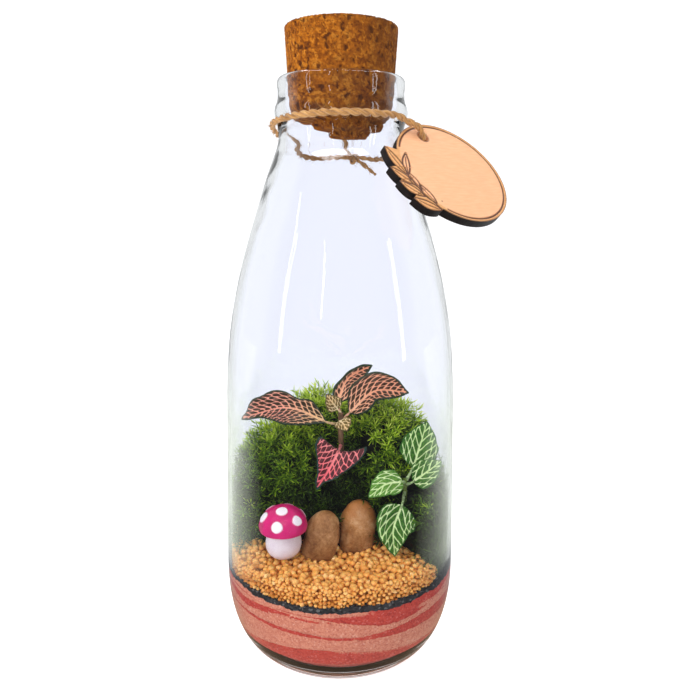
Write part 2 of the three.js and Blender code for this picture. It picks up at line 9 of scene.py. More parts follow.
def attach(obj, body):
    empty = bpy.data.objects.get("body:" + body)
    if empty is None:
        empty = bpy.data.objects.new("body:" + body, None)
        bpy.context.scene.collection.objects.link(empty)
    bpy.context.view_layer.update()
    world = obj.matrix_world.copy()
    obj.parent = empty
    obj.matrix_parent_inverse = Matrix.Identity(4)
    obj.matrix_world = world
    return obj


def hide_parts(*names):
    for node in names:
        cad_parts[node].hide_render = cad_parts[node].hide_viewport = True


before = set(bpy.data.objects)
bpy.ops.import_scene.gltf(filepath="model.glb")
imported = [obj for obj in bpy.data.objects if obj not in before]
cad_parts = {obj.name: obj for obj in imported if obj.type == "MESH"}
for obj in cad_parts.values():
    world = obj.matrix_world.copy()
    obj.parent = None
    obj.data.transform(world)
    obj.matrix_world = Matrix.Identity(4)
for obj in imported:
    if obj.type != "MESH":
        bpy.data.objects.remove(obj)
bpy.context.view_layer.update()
mm = 0.001
print("frame loaded:", len(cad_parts), "nodes")


# ---- camera ----

# The picture is 700 pixels wide. The lens and tilt come from the ellipses of the cork, the sand and the foot.
cameraSetup = {
    "place": (0.0, -273.4, 183.0),  # millimetres
    "tilt": 11.85,  # degrees down
    "turn": 0.81,  # degrees to the right
    "roll": 0.32,
    "focalPixels": 690.0,
    "pictureWidth": 700.0,
    "sensor": 36.0,
}


def addCamera(setup):
    bpy.ops.object.camera_add()
    camera = bpy.context.object
    camera.name = "camera"
    camera.data.sensor_width = setup["sensor"]
    camera.data.lens = setup["sensor"] * setup["focalPixels"] / setup["pictureWidth"]
    camera.data.clip_start = 0.01
    camera.matrix_world = (
        Matrix.Translation(Vector(setup["place"]) * mm)
        @ Matrix.Rotation(math.radians(-setup["turn"]), 4, "Z")
        @ Matrix.Rotation(math.radians(90.0 - setup["tilt"]), 4, "X")
        @ Matrix.Rotation(math.radians(setup["roll"]), 4, "Z")
    )
    bpy.context.scene.camera = camera


addCamera(cameraSetup)


# ---- shared shapes ----

def polar(angle, radius, height):
    # A point from its angle from the front towards the right, in millimetres
    turn = np.radians(angle)
    return np.stack(np.broadcast_arrays(radius * np.sin(turn), -radius * np.cos(turn), height), axis=-1)


def unit(vectors):
    return vectors / np.maximum(np.linalg.norm(vectors, axis=-1, keepdims=True), 1e-9)


def smoothLine(points, count):
    # Centripetal curve through the points, as evenly spaced points
    knots = np.array(points, dtype=float)
    knots = np.vstack([2 * knots[0] - knots[1], knots, 2 * knots[-1] - knots[-2]])
    share = np.linspace(0.0, 1.0, 50, endpoint=False)[:, None]
    dense = []
    for first, start, end, last in zip(knots, knots[1:], knots[2:], knots[3:]):
        before, between, after = (
            max(np.linalg.norm(b - a) ** 0.5, 1e-3) for a, b in ((first, start), (start, end), (end, last))
        )
        leave = (start - first) / before - (end - first) / (before + between) + (end - start) / between
        arrive = (end - start) / between - (last - start) / (between + after) + (last - end) / after
        dense.append(
            start * (2 * share ** 3 - 3 * share ** 2 + 1)
            + leave * between * (share ** 3 - 2 * share ** 2 + share)
            + end * (3 * share ** 2 - 2 * share ** 3)
            + arrive * between * (share ** 3 - share ** 2)
        )
    dense = np.vstack([*dense, knots[-2]])
    run = np.concatenate([[0.0], np.cumsum(np.linalg.norm(np.diff(dense, axis=0), axis=1))])
    places = np.linspace(0.0, run[-1], count)
    return np.stack([np.interp(places, run, dense[:, k]) for k in range(dense.shape[1])], axis=1)


def lineFrames(line):
    # Direction and two cross directions along a line, carried on without twist
    ahead = unit(np.gradient(line, axis=0))
    side = np.empty_like(line)
    start = np.cross(ahead[0], (0.0, 0.0, 1.0))
    if np.linalg.norm(start) < 0.1:
        start = np.cross(ahead[0], (1.0, 0.0, 0.0))
    side[0] = unit(start)
    for i in range(1, len(line)):
        side[i] = unit(side[i - 1] - ahead[i] * np.dot(side[i - 1], ahead[i]))
    return ahead, side, np.cross(ahead, side)


def fullTurn(count):
    return np.linspace(0.0, 2 * math.pi, count, endpoint=False)


def closedRings(rings, firstPole, lastPole):
    # Points and faces of a skin over rings of points, closed with a point at each end
    count, sides, _ = rings.shape
    points = np.vstack([rings.reshape(-1, 3), [firstPole], [lastPole]])
    index = np.arange(count * sides).reshape(count, sides)
    ahead = np.roll(index, -1, axis=1)
    quads = np.stack([index[:-1], ahead[:-1], ahead[1:], index[1:]], axis=-1)
    pole = np.full(sides, count * sides)
    firstCap = np.stack([ahead[0], index[0], pole], axis=1)
    lastCap = np.stack([index[-1], ahead[-1], pole + 1], axis=1)
    return points, quads.reshape(-1, 4).tolist() + firstCap.tolist() + lastCap.tolist()


def tubeNet(line, radius, sides, ripple=1.0):
    # A closed tube round a line; the radius is one value or one for each point
    _, side, up = lineFrames(line)
    around = fullTurn(sides)[None, :, None]
    reach = np.broadcast_to(radius, (len(line),))[:, None] * np.ones((1, sides)) * ripple
    out = side[:, None] * np.cos(around) + up[:, None] * np.sin(around)
    return closedRings(line[:, None] + out * reach[..., None], line[0], line[-1])


def gridFaces(rows, columns):
    index = np.arange(rows * columns).reshape(rows, columns)
    quads = np.stack([index[:-1, :-1], index[:-1, 1:], index[1:, 1:], index[1:, :-1]], axis=-1)
    return quads.reshape(-1, 4).tolist()


def arc(centre, radius, start, end, count):
    # Points of an arc between two angles, in quarter turns
    angles = np.linspace(start, end, count) * math.pi / 2
    return [(centre[0] + radius * math.cos(a), centre[1] + radius * math.sin(a)) for a in angles]


def joinNets(nets):
    # Several nets of points and faces as one
    points, faces, start = [], [], 0
    for netPoints, netFaces in nets:
        points.append(netPoints)
        faces += [[corner + start for corner in face] for face in netFaces]
        start += len(netPoints)
    return np.vstack(points), faces


def makePiece(name, points, faces, edges=()):
    mesh = bpy.data.meshes.new(name)
    mesh.from_pydata((np.asarray(points) * mm).tolist(), list(edges), faces)
    mesh.update()
    piece = bpy.data.objects.new(name, mesh)
    bpy.context.scene.collection.objects.link(piece)
    if faces:
        mesh.polygons.foreach_set("use_smooth", [True] * len(mesh.polygons))
    return piece


def selectOnly(piece):
    for other in bpy.context.selected_objects:
        other.select_set(False)
    piece.select_set(True)
    bpy.context.view_layer.objects.active = piece


def spinProfile(name, profile, steps):
    # Turns a profile of [radius, height] points once about the bottle's axis
    edges = [(i, i + 1) for i in range(len(profile) - 1)]
    piece = makePiece(name, [(radius, 0.0, height) for radius, height in profile], [], edges)
    selectOnly(piece)
    bpy.ops.object.mode_set(mode="EDIT")
    bpy.ops.mesh.select_all(action="SELECT")
    bpy.ops.mesh.spin(steps=steps, angle=2 * math.pi, center=(0.0, 0.0, 0.0), axis=(0.0, 0.0, 1.0))
    bpy.ops.mesh.select_all(action="SELECT")
    bpy.ops.mesh.remove_doubles(threshold=0.005 * mm)
    bpy.ops.mesh.normals_make_consistent(inside=False)
    bpy.ops.object.mode_set(mode="OBJECT")
    bpy.ops.object.shade_smooth()
    return piece


def faceOutward(piece):
    selectOnly(piece)
    bpy.ops.object.mode_set(mode="EDIT")
    bpy.ops.mesh.select_all(action="SELECT")
    bpy.ops.mesh.normals_make_consistent(inside=False)
    bpy.ops.object.mode_set(mode="OBJECT")


def applyModifier(piece, kind, **settings):
    selectOnly(piece)
    modifier = piece.modifiers.new(kind.lower(), kind)
    for key, value in settings.items():
        setattr(modifier, key, value)
    bpy.ops.object.modifier_apply(modifier=modifier.name)


def readVectors(piece, kind):
    vectors = np.empty(len(piece.data.vertices) * 3)
    piece.data.vertices.foreach_get(kind, vectors)
    return vectors.reshape(-1, 3)


def readPoints(piece):
    return readVectors(piece, "co") / mm


def readNormals(piece):
    return readVectors(piece, "normal")


def writePoints(piece, points):
    piece.data.vertices.foreach_set("co", (points * mm).ravel())
    piece.data.update()


def setValues(piece, **layers):
    # Stores one number, or one triple, for each point; a single number holds for every point
    for name, values in layers.items():
        values = np.asarray(values, dtype=float)
        if values.ndim == 0:
            values = np.full(len(piece.data.vertices), float(values))
        kind, key = ("FLOAT_VECTOR", "vector") if values.ndim == 2 else ("FLOAT", "value")
        layer = piece.data.attributes.new(name, kind, "POINT")
        layer.data.foreach_set(key, values.ravel())


def finishPiece(piece, material, slot, *nodes):
    piece.data.materials.clear()
    piece.data.materials.append(material)
    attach(piece, "root")
    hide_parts(*nodes)


def fieldAt(points, scale, seed):
    # Smooth noise from about -1 to 1 at each point, with features of the given size in millimetres
    shift = Vector((seed * 3.7, seed * 1.3, seed * 7.1))
    return np.array([noise.noise(Vector(point) / scale + shift) for point in points.tolist()])


def smoothStep(low, high, value):
    share = np.clip((value - low) / (high - low), 0.0, 1.0)
    return share * share * (3 - 2 * share)


def fade(full, none, value):
    return 1 - smoothStep(full, none, value)


def between(value, start, full, fall, end):
    # Rises from start to full and falls from fall to end
    return smoothStep(start, full, value) * fade(fall, end, value)


# ---- shared material parts ----

def rgb(red, green, blue):
    # A colour from its screen values, 0 to 255
    def linear(value):
        share = value / 255.0
        return share / 12.92 if share <= 0.04045 else ((share + 0.055) / 1.055) ** 2.4

    return (linear(red), linear(green), linear(blue), 1.0)


def newMaterial(name, **values):
    material = bpy.data.materials.new(name)
    material.use_nodes = True
    shader = material.node_tree.nodes["Principled BSDF"]
    for key, value in values.items():
        shader.inputs[key.replace("_", " ")].default_value = value
    return material, material.node_tree, shader


def put(tree, kind, inputs=None, **settings):
    # Adds a node; an input is a value, or another node's output to link
    node = tree.nodes.new(kind)
    for key, value in settings.items():
        setattr(node, key, value)
    for key, value in (inputs or {}).items():
        if isinstance(value, bpy.types.NodeSocket):
            tree.links.new(value, node.inputs[key])
        else:
            node.inputs[key].default_value = value
    return node


def wire(tree, node, **outputs):
    # Links outputs to the inputs that they are named after
    for key, output in outputs.items():
        tree.links.new(output, node.inputs[key.replace("_", " ")])


def coords(tree):
    return put(tree, "ShaderNodeTexCoord").outputs["Object"]


def axisOf(tree, vector, axis):
    return put(tree, "ShaderNodeSeparateXYZ", {0: vector}).outputs["XYZ".index(axis)]


def stretched(tree, vector, scale, turn=0.0):
    inputs = {"Vector": vector, "Rotation": (0.0, 0.0, turn), "Scale": scale}
    return put(tree, "ShaderNodeMapping", inputs).outputs[0]


def attribute(tree, name, output="Fac"):
    return put(tree, "ShaderNodeAttribute", attribute_name=name).outputs[output]


def noiseOf(tree, vector, size, detail, roughness=0.55, distortion=0.0):
    # Noise with features of the given size in millimetres
    return put(tree, "ShaderNodeTexNoise", {
        "Vector": vector, "Scale": 1.0 / (size * mm), "Detail": detail, "Roughness": roughness,
        "Distortion": distortion,
    }).outputs["Fac"]


def math2(tree, operation, first, second):
    return put(tree, "ShaderNodeMath", {0: first, 1: second}, operation=operation).outputs[0]


def plus(tree, first, second):
    return math2(tree, "ADD", first, second)


def times(tree, first, second):
    return math2(tree, "MULTIPLY", first, second)


def swing(tree, value, amount):
    # Noise as a swing about zero
    return times(tree, math2(tree, "SUBTRACT", value, 0.5), amount)


def ranged(tree, value, low, high, toLow=0.0, toHigh=1.0):
    return put(tree, "ShaderNodeMapRange", {0: value, 1: low, 2: high, 3: toLow, 4: toHigh}).outputs[0]


def mixed(tree, share, first, second):
    return put(tree, "ShaderNodeMix", {0: share, 6: first, 7: second}, data_type="RGBA").outputs[2]


def ramp(tree, value, stops):
    node = put(tree, "ShaderNodeValToRGB", {0: value})
    elements = node.color_ramp.elements
    while len(elements) < len(stops):
        elements.new(0.5)
    for element, (place, color) in zip(elements, stops):
        element.position = place
        element.color = color
    return node.outputs["Color"]


def bump(tree, height, distance, strength):
    inputs = {"Height": height, "Distance": distance * mm, "Strength": strength}
    return put(tree, "ShaderNodeBump", inputs).outputs["Normal"]


def mixedShader(tree, share, first, second):
    return put(tree, "ShaderNodeMixShader", {0: share, 1: first, 2: second}).outputs[0]


def letThrough(tree, shader, color, share):
    # A share of the light comes through a thin leaf
    through = put(tree, "ShaderNodeBsdfTranslucent", {"Color": color}).outputs[0]
    both = mixedShader(tree, share, shader.outputs[0], through)
    wire(tree, tree.nodes["Material Output"], Surface=both)


def hasMet(tree, kind):
    # One for rays that have met a surface of this kind: glossy, diffuse or transmission
    depth = put(tree, "ShaderNodeLightPath").outputs[kind + " Depth"]
    return math2(tree, "GREATER_THAN", depth, 0.5)


def newGroup(name, inputs, outputs):
    group = bpy.data.node_groups.new(name, "ShaderNodeTree")
    for label, kind, value in inputs:
        socket = group.interface.new_socket(name=label, in_out="INPUT", socket_type=kind)
        socket.default_value = value
    for label, kind in outputs:
        group.interface.new_socket(name=label, in_out="OUTPUT", socket_type=kind)
    return group, group.nodes.new("NodeGroupInput").outputs, group.nodes.new("NodeGroupOutput")


def useGroup(tree, group, inputs):
    return put(tree, "ShaderNodeGroup", inputs, node_tree=group).outputs


# ---- studio ----

studio = {
    "backdrop": (1.12, 1.12, 1.14, 1.0),  # what shows behind the bottle
    "throughGlass": (1.06, 1.085, 1.18, 1.0),  # and through its glass
    "fill": (0.56, 0.57, 0.59, 1.0),  # the soft light from all round
    # What reflections show: the room in front and behind, the floor under the bottle, a ring of light above
    "mirrored": (0.07, 0.07, 0.08, 1.0),
    "mirroredBack": (0.85, 0.87, 0.88, 1.0),
    "mirroredFloor": (0.45, 0.31, 0.21, 1.0),
    "ring": (9.0, 9.0, 9.2, 1.0),
    "ringFrom": (0.775, 0.79),  # upward part of a direction, from dark to bright
    "ringTo": (0.85, 0.83),
    "roomTurns": (-0.15, 0.5),  # backward part of a direction, from the room in front to the room behind
    "floorTurns": (-0.02, 0.12),  # the same on the floor, in metres
    "underBottle": (0.05, 0.08),  # metres from the axis
    "floorSize": 8.0,  # metres
    "floorDrop": 0.3,  # millimetres below the foot
    "floorColor": (0.6, 0.6, 0.6, 1.0),
    "floorGlow": 0.82,
    "aim": (0.0, 0.0, 0.12),  # where the softboxes point, in metres
}
softboxes = [
    # name, place round the bottle (degrees from the front to the right), distance, height, width and length
    # in metres, watts, and whether it only makes highlights
    ("softbox_key", -48.0, 0.95, 0.5, 0.42, 0.8, 6.2, False),
    ("softbox_front", 30.0, 1.0, 0.5, 0.4, 0.7, 1.6, False),
    ("softbox_top", 0.0, 0.25, 0.9, 0.6, 0.5, 2.6, False),
    ("softbox_back", 150.0, 1.1, 0.5, 0.5, 0.7, 1.8, False),
    ("strip_left", -62.0, 1.15, 0.46, 0.05, 0.7, 0.5, True),
    ("strip_near", -20.0, 1.15, 0.6, 0.03, 0.4, 0.25, True),
    ("strip_right", 64.0, 1.0, 0.44, 0.05, 0.75, 0.6, True),
]


def mirroredRoom(tree, setup, place, turns):
    back = ranged(tree, axisOf(tree, place, "Y"), *setup[turns])
    return mixed(tree, back, setup["mirrored"], setup["mirroredBack"])


def addWorld(setup):
    world = bpy.data.worlds.new("studio")
    bpy.context.scene.world = world
    world.use_nodes = True
    tree = world.node_tree
    toward = put(tree, "ShaderNodeTexCoord").outputs["Generated"]
    up = axisOf(tree, toward, "Z")
    ring = times(tree, ranged(tree, up, *setup["ringFrom"]), ranged(tree, up, *setup["ringTo"]))
    room = mixed(tree, ring, mirroredRoom(tree, setup, toward, "roomTurns"), setup["ring"])
    seen = mixed(tree, hasMet(tree, "Transmission"), setup["backdrop"], setup["throughGlass"])
    seen = mixed(tree, hasMet(tree, "Glossy"), seen, room)
    wire(tree, tree.nodes["Background"], Color=mixed(tree, hasMet(tree, "Diffuse"), seen, setup["fill"]))


def addFloor(setup):
    bpy.ops.mesh.primitive_plane_add(size=setup["floorSize"], location=(0.0, 0.0, -setup["floorDrop"] * mm))
    floor = bpy.context.object
    floor.name = "floor"
    paint, tree, shader = newMaterial(
        "floorPaint", Base_Color=setup["floorColor"], Roughness=0.9,
        Emission_Color=(1.0, 1.0, 1.0, 1.0), Emission_Strength=setup["floorGlow"],
    )
    place = coords(tree)
    away = put(tree, "ShaderNodeVectorMath", {0: place}, operation="LENGTH").outputs["Value"]
    room = mirroredRoom(tree, setup, place, "floorTurns")
    room = mixed(tree, ranged(tree, away, *setup["underBottle"]), setup["mirroredFloor"], room)
    isMirrored = hasMet(tree, "Glossy")
    room = mixed(tree, isMirrored, setup["throughGlass"], room)
    inGlass = put(tree, "ShaderNodeEmission", {"Color": room}).outputs[0]
    isInGlass = math2(tree, "MAXIMUM", isMirrored, hasMet(tree, "Transmission"))
    both = mixedShader(tree, isInGlass, shader.outputs[0], inGlass)
    wire(tree, tree.nodes["Material Output"], Surface=both)
    floor.data.materials.append(paint)


def addSoftboxes(setup, boxes):
    for name, turn, distance, height, width, tall, watts, highlight in boxes:
        angle = math.radians(turn)
        place = Vector((distance * math.sin(angle), -distance * math.cos(angle), height))
        bpy.ops.object.light_add(type="AREA", location=place)
        light = bpy.context.object
        light.name = name
        light.data.shape = "RECTANGLE"
        light.data.size = width
        light.data.size_y = tall
        light.data.energy = watts
        light.visible_glossy = highlight
        light.visible_transmission = highlight
        light.visible_diffuse = not highlight
        light.rotation_euler = (Vector(setup["aim"]) - place).to_track_quat("-Z", "Y").to_euler()


addWorld(studio)
addFloor(studio)
addSoftboxes(studio, softboxes)
bpy.context.scene.view_settings.view_transform = "Standard"
print("camera and studio ready")


# ---- bottle ----

bottle = {
    "footRadius": 28.2,
    "innerFootRadius": 34.2,
    "floorThickness": 7.6,
    "heelHeight": 37.0,
    "heelRadius": 47.4,
    "heelPower": 2.3,
    "wall": 2.1,
    "punt": 1.4,  # how far the underside is pushed up
    "mouthRadius": 20.9,
    "slim": 0.8,  # how much thinner the wall is below the shoulder than at the neck
    "lipHeight": 229.1,
    "lipOuter": 1.7,
    "lipInner": 0.85,
    "finishRadius": 23.9,
    "ripple": 0.3,  # unevenness of the neck's inner face
    "rippleSize": 11.0,
    "steps": 128,
}
# Mist on the glass beside the planting: it shows where the glass turns away from the view
mist = {
    "color": (0.84, 0.93, 0.7, 1.0),
    "bottom": (0.041, 0.052),  # metres, from clear to misted
    "top": (0.125, 0.09),
    "turned": (0.34, 0.75),
    "most": 0.23,
}
# Heights and radii of the outside and of the inside
bodyProfile = [
    (58.6, 47.0), (86.5, 46.3), (113.3, 45.5), (132.7, 44.0), (148.0, 41.4), (160.0, 38.6), (171.0, 35.4),
    (181.0, 32.2), (188.5, 29.9), (194.4, 27.9), (199.3, 26.1), (203.0, 24.7), (206.0, 23.85), (208.5, 23.6),
    (212.0, 24.0), (215.0, 24.85), (217.0, 25.1), (219.0, 24.7), (220.6, 23.95), (222.5, 23.75),
    (224.6, 23.7), (225.9, 23.95),
]
boreProfile = [
    (58.6, 44.9), (86.5, 44.2), (113.3, 43.3), (132.7, 41.7), (148.0, 39.0), (160.0, 36.1), (171.0, 32.8),
    (181.0, 29.5), (188.5, 27.0), (194.4, 24.9), (199.3, 23.0), (203.0, 21.5), (206.5, 20.95),
]


def heelLine(footRadius, footHeight, fullRadius, fullHeight, count):
    # Quarter of a superellipse, as [height, radius] points
    angles = np.linspace(0.0, math.pi / 2, count)
    power = 2.0 / bottle["heelPower"]
    radius = footRadius + (fullRadius - footRadius) * np.sin(angles) ** power
    height = footHeight + (fullHeight - footHeight) * (1 - np.maximum(np.cos(angles), 0.0) ** power)
    return np.stack([height, radius], axis=1)


outerHeel = heelLine(bottle["footRadius"], 0.0, bottle["heelRadius"], bottle["heelHeight"], 26)
innerHeel = heelLine(
    bottle["innerFootRadius"], bottle["floorThickness"],
    bottle["heelRadius"] - bottle["wall"], bottle["heelHeight"], 26,
)
outerWall = np.vstack([outerHeel, smoothLine([outerHeel[-1], *bodyProfile], 130)[1:]])
innerWall = np.vstack([innerHeel, smoothLine([innerHeel[-1], *boreProfile], 110)[1:]])
innerWall[:, 1] += bottle["slim"] * np.clip((203.0 - innerWall[:, 0]) / 30.0, 0.0, 1.0)


def roomAt(height, clear=0.1):
    # Clear radius inside the glass
    return np.interp(height, innerWall[:, 0], innerWall[:, 1]) - clear


def glassMaterial():
    material, tree, shader = newMaterial(
        "glassClear", Base_Color=(0.965, 0.975, 0.99, 1.0), Roughness=0.0, IOR=1.5,
        Transmission_Weight=1.0, Metallic=0.0,
    )
    place = coords(tree)
    slow = noiseOf(tree, place, 24.0, 2.0)
    drawn = noiseOf(tree, stretched(tree, place, (1.0, 1.0, 0.3)), 9.0, 2.0)
    # Seen edge on, the glass is long to look through and turns grey
    edge = put(tree, "ShaderNodeLayerWeight", {"Blend": 0.5}).outputs["Facing"]
    tint = ramp(tree, edge, [
        (0.0, (0.975, 0.98, 1.0, 1.0)), (0.7, (0.97, 0.976, 0.99, 1.0)),
        (0.92, (0.84, 0.87, 0.86, 1.0)), (1.0, (0.45, 0.48, 0.47, 1.0)),
    ])
    uneven = plus(tree, slow, times(tree, drawn, 0.35))
    wire(tree, shader, Base_Color=tint, Normal=bump(tree, uneven, 0.3, 0.5))
    up = axisOf(tree, place, "Z")
    misted = times(tree, ranged(tree, up, *mist["bottom"]), ranged(tree, up, *mist["top"]))
    misted = times(tree, misted, ranged(tree, slow, 0.25, 0.6, 0.6, 1.0))
    misted = times(tree, misted, ranged(tree, edge, *mist["turned"], 0.0, mist["most"]))
    veil = put(tree, "ShaderNodeBsdfDiffuse", {"Color": mist["color"]}).outputs[0]
    glass = mixedShader(tree, misted, shader.outputs[0], veil)
    # Light reaches the planting straight through the wall
    path = put(tree, "ShaderNodeLightPath").outputs
    straight = math2(tree, "MAXIMUM", path["Is Shadow Ray"], path["Is Diffuse Ray"])
    clear = put(tree, "ShaderNodeBsdfTransparent", {"Color": (0.97, 0.975, 0.98, 1.0)}).outputs[0]
    wire(tree, tree.nodes["Material Output"], Surface=mixedShader(tree, straight, glass, clear))
    return material


def addBottle():
    footRadius, lipHeight = bottle["footRadius"], bottle["lipHeight"]
    outer, inner = bottle["lipOuter"], bottle["lipInner"]
    profile = [
        *[(radius, bottle["punt"] * (1 - (radius / footRadius) ** 2)) for radius in range(0, 28, 3)],
        *[(radius, height) for height, radius in outerWall],
        *arc((bottle["finishRadius"] - outer, lipHeight - outer), outer, 0.0, 1.0, 9),
        *arc((bottle["mouthRadius"] + inner, lipHeight - inner), inner, 1.0, 2.0, 6),
        *[(radius, height) for height, radius in innerWall[::-1]],
        *[(bottle["innerFootRadius"] * share, bottle["floorThickness"]) for share in (0.75, 0.5, 0.25, 0.0)],
    ]
    piece = spinProfile("glass_wall", profile, bottle["steps"])
    points = readPoints(piece)
    radius, height = np.hypot(points[:, 0], points[:, 1]), points[:, 2]
    # Only the bore is uneven, from the shoulder up to the lip
    isBore = (radius < roomAt(height, -0.05)) & (height > 60.0)
    uneven = np.abs(fieldAt(points, bottle["rippleSize"], 3.0)) * bottle["ripple"]
    uneven *= isBore * between(height, 150.0, 200.0, 222.0, 229.0)
    points[:, :2] *= (1 - uneven / np.maximum(radius, 1.0))[:, None]
    writePoints(piece, points)
    finishPiece(piece, glassMaterial(), "glass", "glass_bottle")


addBottle()
print("bottle made")


# ---- cork ----

cork = {
    "bottom": 206.0,
    "top": 247.0,
    "bottomRadius": 18.75,
    "topRadius": 21.1,
    "topEdge": 0.9,
    "bottomEdge": 2.6,
    # The end inside the neck is worn down unevenly in two steps: heights, and the share of the radius left
    "wornHeights": (206.0, 209.8, 211.0, 215.6, 217.4),
    "wornShares": (0.36, 0.42, 0.62, 0.68, 1.0),
    "wornShift": 3.0,
    "grain": 1.3,  # millimetres between the pressed grains
    "grainReach": 23.0,
    "grainHollow": (16.0, 219.0, 244.0),  # no grains are made inside this radius between these heights
    "crevice": 0.3,
    "sunk": 0.06,  # share of grains that have broken out
    "steps": 300,
    "seed": 8,
}


def corkMaterial():
    material, tree, shader = newMaterial("corkPressed", Roughness=0.82, Specular_IOR_Level=0.2)
    place = coords(tree)
    grain = attribute(tree, "grain")
    crevice = attribute(tree, "crevice")
    fine = noiseOf(tree, place, 0.8, 4.0, 0.65)
    patch = noiseOf(tree, place, 7.0, 2.0)
    tone = plus(tree, times(tree, grain, 0.4), times(tree, fine, 0.7))
    tone = plus(tree, tone, swing(tree, patch, 0.6))
    color = ramp(tree, tone, [
        (0.2, rgb(78, 36, 4)), (0.42, rgb(126, 66, 8)),
        (0.62, rgb(162, 92, 14)), (0.85, rgb(200, 130, 42)),
    ])
    speck = ranged(tree, noiseOf(tree, place, 0.9, 3.0, 0.7), 0.56, 0.64)
    hole = math2(tree, "MAXIMUM", ranged(tree, crevice, 0.35, 1.0, 0.0, 0.8), times(tree, speck, 0.7))
    color = mixed(tree, hole, color, rgb(62, 30, 10))
    # Painted shade: the right side, away from the light, is darker
    shadedSide = plus(tree, axisOf(tree, place, "X"), swing(tree, patch, 0.05))
    color = mixed(tree, ranged(tree, shadedSide, -0.012, 0.016, 0.0, 0.55), color, rgb(84, 48, 16))
    height = math2(tree, "SUBTRACT", fine, times(tree, hole, 0.6))
    wire(tree, shader, Base_Color=color, Normal=bump(tree, height, 0.25, 0.8))
    return material


def addCork():
    side = cork["top"] - cork["bottom"]
    lean = (cork["topRadius"] - cork["bottomRadius"]) / side
    lowFlat, lowEdge = cork["bottomRadius"] - cork["bottomEdge"], cork["bottomEdge"]
    topFlat, topEdge = cork["topRadius"] - cork["topEdge"], cork["topEdge"]
    profile = [(radius, cork["bottom"]) for radius in np.linspace(0.0, lowFlat, 22)]
    profile += arc((lowFlat, cork["bottom"] + lowEdge), lowEdge, -0.8, 0.0, 5)
    for height in np.linspace(lowEdge + 0.4, side - topEdge, 88):
        profile.append((cork["bottomRadius"] + lean * height, cork["bottom"] + height))
    profile += arc((topFlat, cork["top"] - topEdge), topEdge, 0.25, 1.0, 4)
    profile += [(radius, cork["top"]) for radius in np.linspace(topFlat - 0.4, 0.0, 46)]
    piece = spinProfile("cork_body", profile, cork["steps"])
    points = readPoints(piece)
    # Grains are the cells round points thrown evenly through the cork's outer part
    draw = random.Random(cork["seed"])
    noise.seed_set(cork["seed"])  # without it the offsets of noise_vector come from the clock
    tree = kdtree.KDTree(60000)
    tones = []
    step, reach = cork["grain"], cork["grainReach"]
    hollowRadius, hollowFrom, hollowTo = cork["grainHollow"]
    for x in np.arange(-reach, reach + 0.1, step):
        for y in np.arange(-reach, reach + 0.1, step):
            for z in np.arange(cork["bottom"] - 2.0, cork["top"] + 2.1, step):
                outer = math.hypot(x, y)
                if outer > reach or (outer < hollowRadius and hollowFrom < z < hollowTo):
                    continue
                seed = Vector((x, y, z)) + Vector([draw.uniform(-0.5, 0.5) * step for _ in range(3)])
                tree.insert(seed, len(tones))
                tones.append(draw.random())
    tree.balance()
    grain, crevice, lift = [], [], []
    for point in points.tolist():
        spot = Vector(point)
        spot += noise.noise_vector(spot / 2.4) * 0.8 + noise.noise_vector(spot / 0.9) * 0.25
        (_, first, near), (_, _, far) = tree.find_n(spot, 2)
        tone = tones[first]
        edge = 1 - min((far - near) / cork["crevice"], 1.0)
        sunk = 1.0 if tone < cork["sunk"] else 0.0
        grain.append(tone)
        crevice.append(max(edge * (0.3 + 0.7 * (tone * 7 % 1)), sunk))
        lift.append(-0.22 * edge - 0.35 * sunk - 0.08 * (tone * 13 % 1))
    setValues(piece, grain=grain, crevice=crevice)
    points += readNormals(piece) * np.array(lift)[:, None]
    left = np.interp(points[:, 2] + fieldAt(points, 6.0, 6.0), cork["wornHeights"], cork["wornShares"])
    left += 0.1 * fieldAt(points, 4.0, 6.0) * (left < 0.98)
    points[:, :2] *= np.minimum(left, 1.0)[:, None]
    points[:, 0] += cork["wornShift"] * np.clip((1 - left) / 0.36, 0.0, 1.0)
    writePoints(piece, points)
    finishPiece(piece, corkMaterial(), "cork", "cork_stopper")


addCork()
print("cork made")


# ---- tag ----

tag = {
    "centre": (40.2, -18.6, 195.1),
    "facing": (0.427, -0.611, 0.667),
    "radius": 23.2,
    "thickness": 3.2,
    "rimBand": 1.25,  # between the engraved ring and the edge
    "lineWidth": 0.34,
    "lineDepth": 0.32,
    "hole": (-4.9, 16.6, 2.3),
    "steps": 560,
    "rings": 92,
    "sideRows": 13,
    "backStep": 8,  # the back has only every eighth of the front's rings
    "ringGap": (151.0, -127.0),  # degrees between which the ring makes room for the sprig
    "scorchMark": (-13.7, -14.2),
}
# The sprig, in millimetres across and up the tag: its stem, then each leaf's foot, tip and half width
sprigStem = [(-14.6, -19.0), (-17.4, -14.6), (-19.8, -10.8), (-21.2, -6.6), (-22.2, -2.4), (-21.9, 1.4)]
sprigLeaves = [
    ((-22.2, -2.4), (-25.7, 11.2), 1.8), ((-21.0, -6.9), (-28.3, 1.4), 1.7),
    ((-20.0, -12.0), (-27.6, -4.8), 1.7), ((-15.7, -18.2), (-25.6, -12.4), 1.8),
    ((-21.8, -2.1), (-17.7, 8.0), 1.4), ((-19.6, -8.8), (-21.6, -1.0), 1.5),
    ((-16.3, -14.9), (-19.4, -6.3), 1.6),
]
tagFacing = unit(np.array(tag["facing"]))
tagAcross = unit(np.cross((0.0, 0.0, 1.0), tagFacing))
tagUp = np.cross(tagFacing, tagAcross)


def onTag(across, up, out):
    across, up, out = (np.asarray(value, dtype=float)[..., None] for value in (across, up, out))
    return np.array(tag["centre"]) + across * tagAcross + up * tagUp + out * tagFacing


